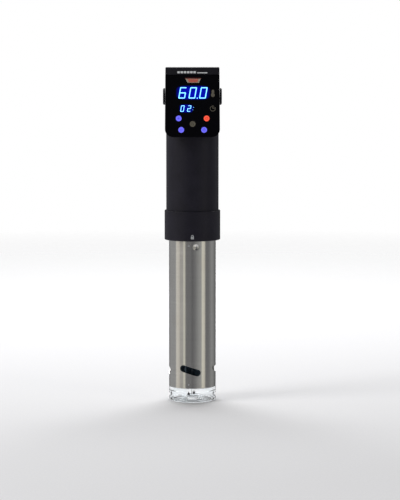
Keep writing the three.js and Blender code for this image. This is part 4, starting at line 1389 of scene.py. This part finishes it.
def make_digits():
    """Each display's digits twice: a wide deep blue halo, and a narrower bright core on it."""
    layers = (("halo", 1.0, SEGMENT_HALO, LIFT), ("core", DIGIT_CORE, SEGMENT, SECOND_LIFT))
    for name, digits in (("large", LARGE_DIGITS), ("small", SMALL_DIGITS)):
        for layer, share, material, lift in layers:
            spread = digits["bar"] * (1 - share) / 2
            width, height = digits["width"] - 2 * spread, digits["height"] - 2 * spread
            base, bar = digits["z"] + spread, digits["bar"] * share
            outlines = []
            for digit, left in zip(digits["text"], digits["left"]):
                bars = segment_outlines(digit, left + spread, base, width, height, bar)
                outlines += [[slanted(points, digits["z"])] for points in bars]
            outlines += [[circle(u, v, radius * share, 24)] for u, v, radius in digits["dots"]]
            panel_mark(f"{name}_digits_{layer}", outlines, material, "display_blue", lift)


def icon(kind, u, v, size):
    """A generic key symbol about (u, v)."""
    thin = size * 0.16
    flat = rectangle(u - size, u + size, v - thin, v + thin)
    upper = rectangle(u - thin, u + thin, v + thin, v + size)
    if kind == "plus":
        lower = rectangle(u - thin, u + thin, v - size, v - thin)
        return [[flat], [upper], [lower]]
    if kind == "minus":
        return [[flat]]
    if kind == "ring":
        ring = [circle(u, v, size), circle(u, v, size - 2 * thin)[::-1]]
        return [ring, [rectangle(u - thin, u + thin, v, v + size * 0.6)]]
    if kind == "bars":
        middles = (u - size * 0.5, u + size * 0.5)
        return [[rectangle(c - thin, c + thin, v - size * 0.8, v + size * 0.8)] for c in middles]
    open_ring = arc(u, v, size, -240, 60, 28) + arc(u, v, size - 2 * thin, 60, -240, 28)
    return [[open_ring], [rectangle(u - thin, u + thin, v, v + size)]]


def make_keys():
    """A lit or unlit round key over each light guide, with its symbol."""
    for node, (kind, state) in KEYS.items():
        centre = (low(node) + high(node)) / 2 / MM
        face, symbol, slot = KEY_FINISHES[state]
        name = node.replace("key_light_guide_", "")
        panel_mark(f"key_{name}", [[circle(centre.x, centre.z, KEY_RADIUS, 48)]], face, slot)
        outlines = icon(kind, centre.x, centre.z, KEY_RADIUS * 0.5)
        panel_mark(f"key_symbol_{name}", outlines, symbol, slot, SECOND_LIFT)


def make_status_icons():
    """A thermometer beside the large digits and a clock beside the small ones."""
    u, v = THERMOMETER
    bulb = arc(u, v - 2.1, 2.2, 132, 408, 24)
    stem = arc(u, v + 2.6, 1.45, 0, 180, 12)
    panel_mark("thermometer_icon", [[bulb + stem]], ICON_GREY)
    u, v = CLOCK
    ring = arc(u, v, 3.25, 60, 390, 40) + arc(u, v, 2.6, 390, 60, 40)
    long_hand = rectangle(u - 0.35, u + 0.35, v, v + 2.2)
    short_hand = rectangle(u + 0.35, u + 2.3, v, v + 0.65)
    panel_mark("clock_icon", [[ring], [long_hand], [short_hand]], ICON_GREY)


def make_badge():
    """A plain trapezoid badge: a red field on a pale plate, with a dark red edge above it."""
    z, height = BADGE["z"], BADGE["height"]
    (low_left, low_right), (top_left, top_right) = BADGE["bottom"], BADGE["top"]

    def slice_of(start, end, low_share, high_share):
        """The badge's part between two shares of its width and two of its height."""
        corners = []
        for share, order in ((low_share, (start, end)), (high_share, (end, start))):
            left = low_left + (top_left - low_left) * share
            right = low_right + (top_right - low_right) * share
            corners += [(left + (right - left) * t, z + height * share) for t in order]
        return corners

    panel_mark("badge_plate", [[slice_of(0, 1, 0, 0.82)]], BEIGE_INK)
    panel_mark("badge_field", [[slice_of(0.14, 0.86, 0.1, 0.74)]], RED_INK, lift=SECOND_LIFT)
    panel_mark("badge_top_edge", [[slice_of(0, 1, 0.86, 1)]], DARK_RED_INK)


def make_brow_dashes():
    """A generic row of dashes where such an object carries its name."""
    outlines = []
    left = BROW_DASH["left"]
    for _ in range(BROW_DASH["count"]):
        outlines.append([rectangle(left, left + BROW_DASH["width"], BROW_DASH["low"], BROW_DASH["high"])])
        left += BROW_DASH["pitch"]
    start, end = left + BROW_TAIL["start"], left + BROW_TAIL["end"]
    outlines.append([rectangle(start, end, BROW_TAIL["low"], BROW_TAIL["high"])])
    mark("brow_dashes", outlines, on_brow, BAND_INK, "head", "satin_black_plastic", step=3.0)


def make_tube_marks():
    """A padlock on the collar, an arrow and a dot on the skirt, an arrow and a lock sign on the cap."""
    collar = on_tube(COLLAR_RADIUS, 0, MARK_Z["padlock"])
    lock_body = [rectangle(-1.8, 1.8, -2.7, 0.4), circle(0, -1.1, 0.45, 12)[::-1]]
    shackle = arc(0, 0.8, 1.5, 0, 180, 14) + arc(0, 0.8, 0.8, 180, 0, 14)
    legs = [[rectangle(u - 0.35, u + 0.35, 0.4, 0.8)] for u in (-1.15, 1.15)]
    mark("padlock_mark", [lock_body, [shackle], *legs], collar, PALE_INK, "body", "satin_black_plastic")
    turn = math.degrees(math.asin(MARK_X / SKIRT_RADIUS))
    small_arrow = [(-1.3, -1.0), (1.3, -1.0), (0, 1.2)]
    for name, outline in (("skirt_arrow", small_arrow), ("skirt_dot", circle(0, 0, 0.8))):
        place = on_tube(SKIRT_RADIUS, turn, MARK_Z[name])
        mark(name, [[outline]], place, PALE_INK, "skirt", "brushed_stainless")
    place = on_tube(SKIRT_RADIUS, turn, MARK_Z["cap_arrow"])
    large_arrow = [(-1.9, -2.0), (1.9, -2.0), (0, 2.2)]
    mark("cap_arrow", [[large_arrow]], place, BLACK_INK, "cap", "clear_polycarbonate")
    bar, lock = rectangle(3.3, 3.8, -0.6, 4.4), rectangle(4.7, 7.5, -0.6, 2.0)
    shackle = arc(6.1, 2.0, 1.25, 0, 180, 12) + arc(6.1, 2.0, 0.75, 180, 0, 12)
    mark("cap_lock_marks", [[bar], [lock], [shackle]], place, GREY_INK, "cap", "clear_polycarbonate")


# ---- CAD nodes that keep their own shape ----
def finish_inner_nodes():
    """Gives the CAD's own inner objects a material and a small bevel."""
    finishes = {
        "heater_flange": STEEL,
        "flange_gasket": SILICONE,
        "lower_shaft_bush": BRONZE,
        "upper_shaft_bush": BRONZE,
        "shaft_seal": RUBBER,
        "motor_bracket": ZINC,
        "motor_can": ZINC,
        "power_board": BOARD_GREEN,
        "display_board": BOARD_GREEN,
        "transformer": TAPE,
        "relay": DARK_PLASTIC,
        "terminal_block": BLUE_PLASTIC,
        "capacitor": DARK_PLASTIC,
        "heat_sink": ALUMINIUM,
        "led_display_large": DISPLAY_BACK,
        "led_display_small": DISPLAY_BACK,
    }
    for node, (_, state) in KEYS.items():
        finishes[node] = KEY_FINISHES[state][0]
    for node, material in finishes.items():
        target = frame["nodes"][node]
        for slot in target.material_slots:
            slot.material = material
        bevel = target.modifiers.new("bevel", "BEVEL")
        bevel.width = 0.15 * MM
        bevel.segments = 2
        bevel.limit_method = "ANGLE"


# ---- stage ----
CAMERA = {
    "distance": 2.5,
    "height": 0.41,
    "pitch": 4.9,
    "lens": 153.5,
    "sensor": 36,
    "shift": (0.0152, -0.0312),
    "clip": (0.05, 50),
}
BACKGROUND = (1.0, 1.0, 1.0)
ROOM_LEVEL = 0.21
SOFTBOXES = (
    # azimuth from -Y towards +X, half width, edge softness, added level, colour
    (-112, 34, 10, 0.2, (0.97, 0.99, 1.0)),
    (-77, 12, 2, 0.48, (1.0, 0.93, 0.8)),
    (-54, 10, 2, 0.24, (1.0, 0.95, 0.84)),
    (-40.5, 5, 1.5, 0.55, (1.0, 0.98, 0.82)),
    (42, 18, 12, 0.2, (0.98, 1.0, 0.96)),
    (56.5, 9.5, 2, 0.5, (1.0, 0.94, 0.76)),
    (124, 24, 14, 0.17, (0.97, 0.99, 1.0)),
)
ROOM_TINT = (0.98, 0.985, 1.03)
FLOOR = {"radius": 3.0, "fade_start": 0.5, "fade_end": 2.4}
LIGHTS = {
    "top_softbox": {"place": (0.0, 1.2, 1.8), "aim": (0, 0.3, 0), "size": (1.8, 1.2), "power": 42},
    "key_softbox": {"place": (-1.5, -0.7, 1.5), "aim": (0, 0, 0.25), "size": (0.8, 0.8), "power": 12},
}
DARK_SPOT = {"half": 5, "softness": 4, "share": 0.25}
DIM_ABOVE = {"start": 0.6, "full": 0.85, "share": 0.6}  # by the height of the direction, 1 straight up
BRIGHT_BELOW = {"start": -0.4, "full": -0.6, "level": 0.55}  # what the pale floor would send back
DARK_BACK = {"centre": 165, "half": 42, "softness": 12, "share": 0.55}


def make_camera():
    data = bpy.data.cameras.new("camera")
    data.lens = CAMERA["lens"]
    data.sensor_width = CAMERA["sensor"]
    data.shift_x, data.shift_y = CAMERA["shift"]
    data.clip_start, data.clip_end = CAMERA["clip"]
    camera = bpy.data.objects.new("camera", data)
    camera.location = (0, -CAMERA["distance"], CAMERA["height"])
    camera.rotation_euler = (math.radians(90 - CAMERA["pitch"]), 0, 0)
    bpy.context.scene.collection.objects.link(camera)
    bpy.context.scene.camera = camera


def make_floor():
    """A pale disc that fades into the pale surroundings."""
    shape = bmesh.new()
    bmesh.ops.create_circle(shape, cap_ends=True, radius=FLOOR["radius"], segments=96)
    floor = placed(shape, "floor")
    shader = Shader("floor_paper")
    tooth = shader.noise(400, detail=3)
    paper = shader.blend(shader.range(tooth, 0, 1), (0.8, 0.8, 0.815), (0.83, 0.83, 0.845))
    away = shader.vector("LENGTH", i0=shader.place)["Value"]
    fade = shader.range(away, 1, 0, FLOOR["fade_start"], FLOOR["fade_end"])
    shader.set(Base_Color=paper, Roughness=0.9, Specular_IOR_Level=0.1, Alpha=fade)
    floor.data.materials.append(shader.material)
    floor.visible_glossy = False


def make_world():
    """Pale for the camera. For reflections, a dim room with upright softboxes all round."""
    world = bpy.data.worlds.new("studio")
    world.use_nodes = True
    world.node_tree.nodes.clear()
    bpy.context.scene.world = world
    graph = Graph(world.node_tree)
    direction = graph.add("ShaderNodeTexCoord").outputs["Generated"]
    axes = graph.add("ShaderNodeSeparateXYZ", Vector=direction).outputs
    forward = graph.times(axes["Y"], -1.0)
    azimuth = graph.times(graph.math("ARCTAN2", axes["X"], forward), 180 / math.pi)

    def window(centre, half, softness):
        """1 within half a width of an azimuth, falling to 0 over the softness."""
        away = graph.math("ABSOLUTE", graph.minus(azimuth, centre))
        return graph.math("DIVIDE", graph.minus(half + softness, away), 2 * softness, clamp=True)

    def tinted(tint, amount):
        return graph.vector("SCALE", i0=tint, Scale=amount)[0]

    ahead = window(0, DARK_SPOT["half"], DARK_SPOT["softness"])
    behind = window(DARK_BACK["centre"], DARK_BACK["half"], DARK_BACK["softness"])
    dark = graph.plus(graph.times(ahead, DARK_SPOT["share"]), graph.times(behind, DARK_BACK["share"]))
    light = tinted(ROOM_TINT, graph.times(graph.minus(1.0, dark), ROOM_LEVEL))
    for centre, half, softness, level, tint in SOFTBOXES:
        added = tinted(tint, graph.times(window(centre, half, softness), level))
        light = graph.vector("ADD", i0=light, i1=added)[0]
    upward = graph.minus(axes["Z"], DIM_ABOVE["start"])
    upward = graph.math("DIVIDE", upward, DIM_ABOVE["full"] - DIM_ABOVE["start"], clamp=True)
    light = tinted(light, graph.minus(1.0, graph.times(upward, DIM_ABOVE["share"])))
    downward = graph.minus(BRIGHT_BELOW["start"], axes["Z"])
    downward = graph.math("DIVIDE", downward, BRIGHT_BELOW["start"] - BRIGHT_BELOW["full"], clamp=True)
    bounce = tinted(ROOM_TINT, graph.times(downward, BRIGHT_BELOW["level"]))
    light = graph.vector("ADD", i0=light, i1=bounce)[0]
    room = graph.add("ShaderNodeBackground", Color=light).outputs[0]
    backdrop = graph.add("ShaderNodeBackground", Color=BACKGROUND).outputs[0]
    path = graph.add("ShaderNodeLightPath").outputs
    seen = graph.math("MAXIMUM", path["Is Camera Ray"], path["Is Transmission Ray"])
    mix = graph.add("ShaderNodeMixShader", i0=seen, i1=room, i2=backdrop).outputs[0]
    graph.add("ShaderNodeOutputWorld", Surface=mix)


def area_light(name, place, aim, size, power):
    data = bpy.data.lights.new(name, "AREA")
    data.shape = "RECTANGLE"
    data.size, data.size_y = size
    data.energy = power
    lamp = bpy.data.objects.new(name, data)
    lamp.location = place
    lamp.rotation_euler = (Vector(aim) - Vector(place)).to_track_quat("-Z", "Y").to_euler()
    lamp.visible_camera = False
    bpy.context.scene.collection.objects.link(lamp)


def make_lights():
    for name, settings in LIGHTS.items():
        area_light(name, **settings)


def make_object():
    make_end_cap()
    make_skirt()
    make_collar()
    make_spigot()
    make_seal_ring()
    make_coil()
    make_rods()
    make_wheel("impeller", SLATE_NYLON, "grey_nylon")
    make_wheel("cooling_fan", DARK_PLASTIC, "dark_plastic")
    make_body_shells()
    make_screws()
    make_gland()
    make_head_housing()
    make_hood()
    make_panel()
    make_pivot_caps()
    make_pins()
    make_digits()
    make_keys()
    make_status_icons()
    make_badge()
    make_brow_dashes()
    make_tube_marks()
    finish_inner_nodes()


make_camera()
make_object()
make_floor()
make_world()
make_lights()
bpy.context.scene.view_settings.view_transform = "Standard"
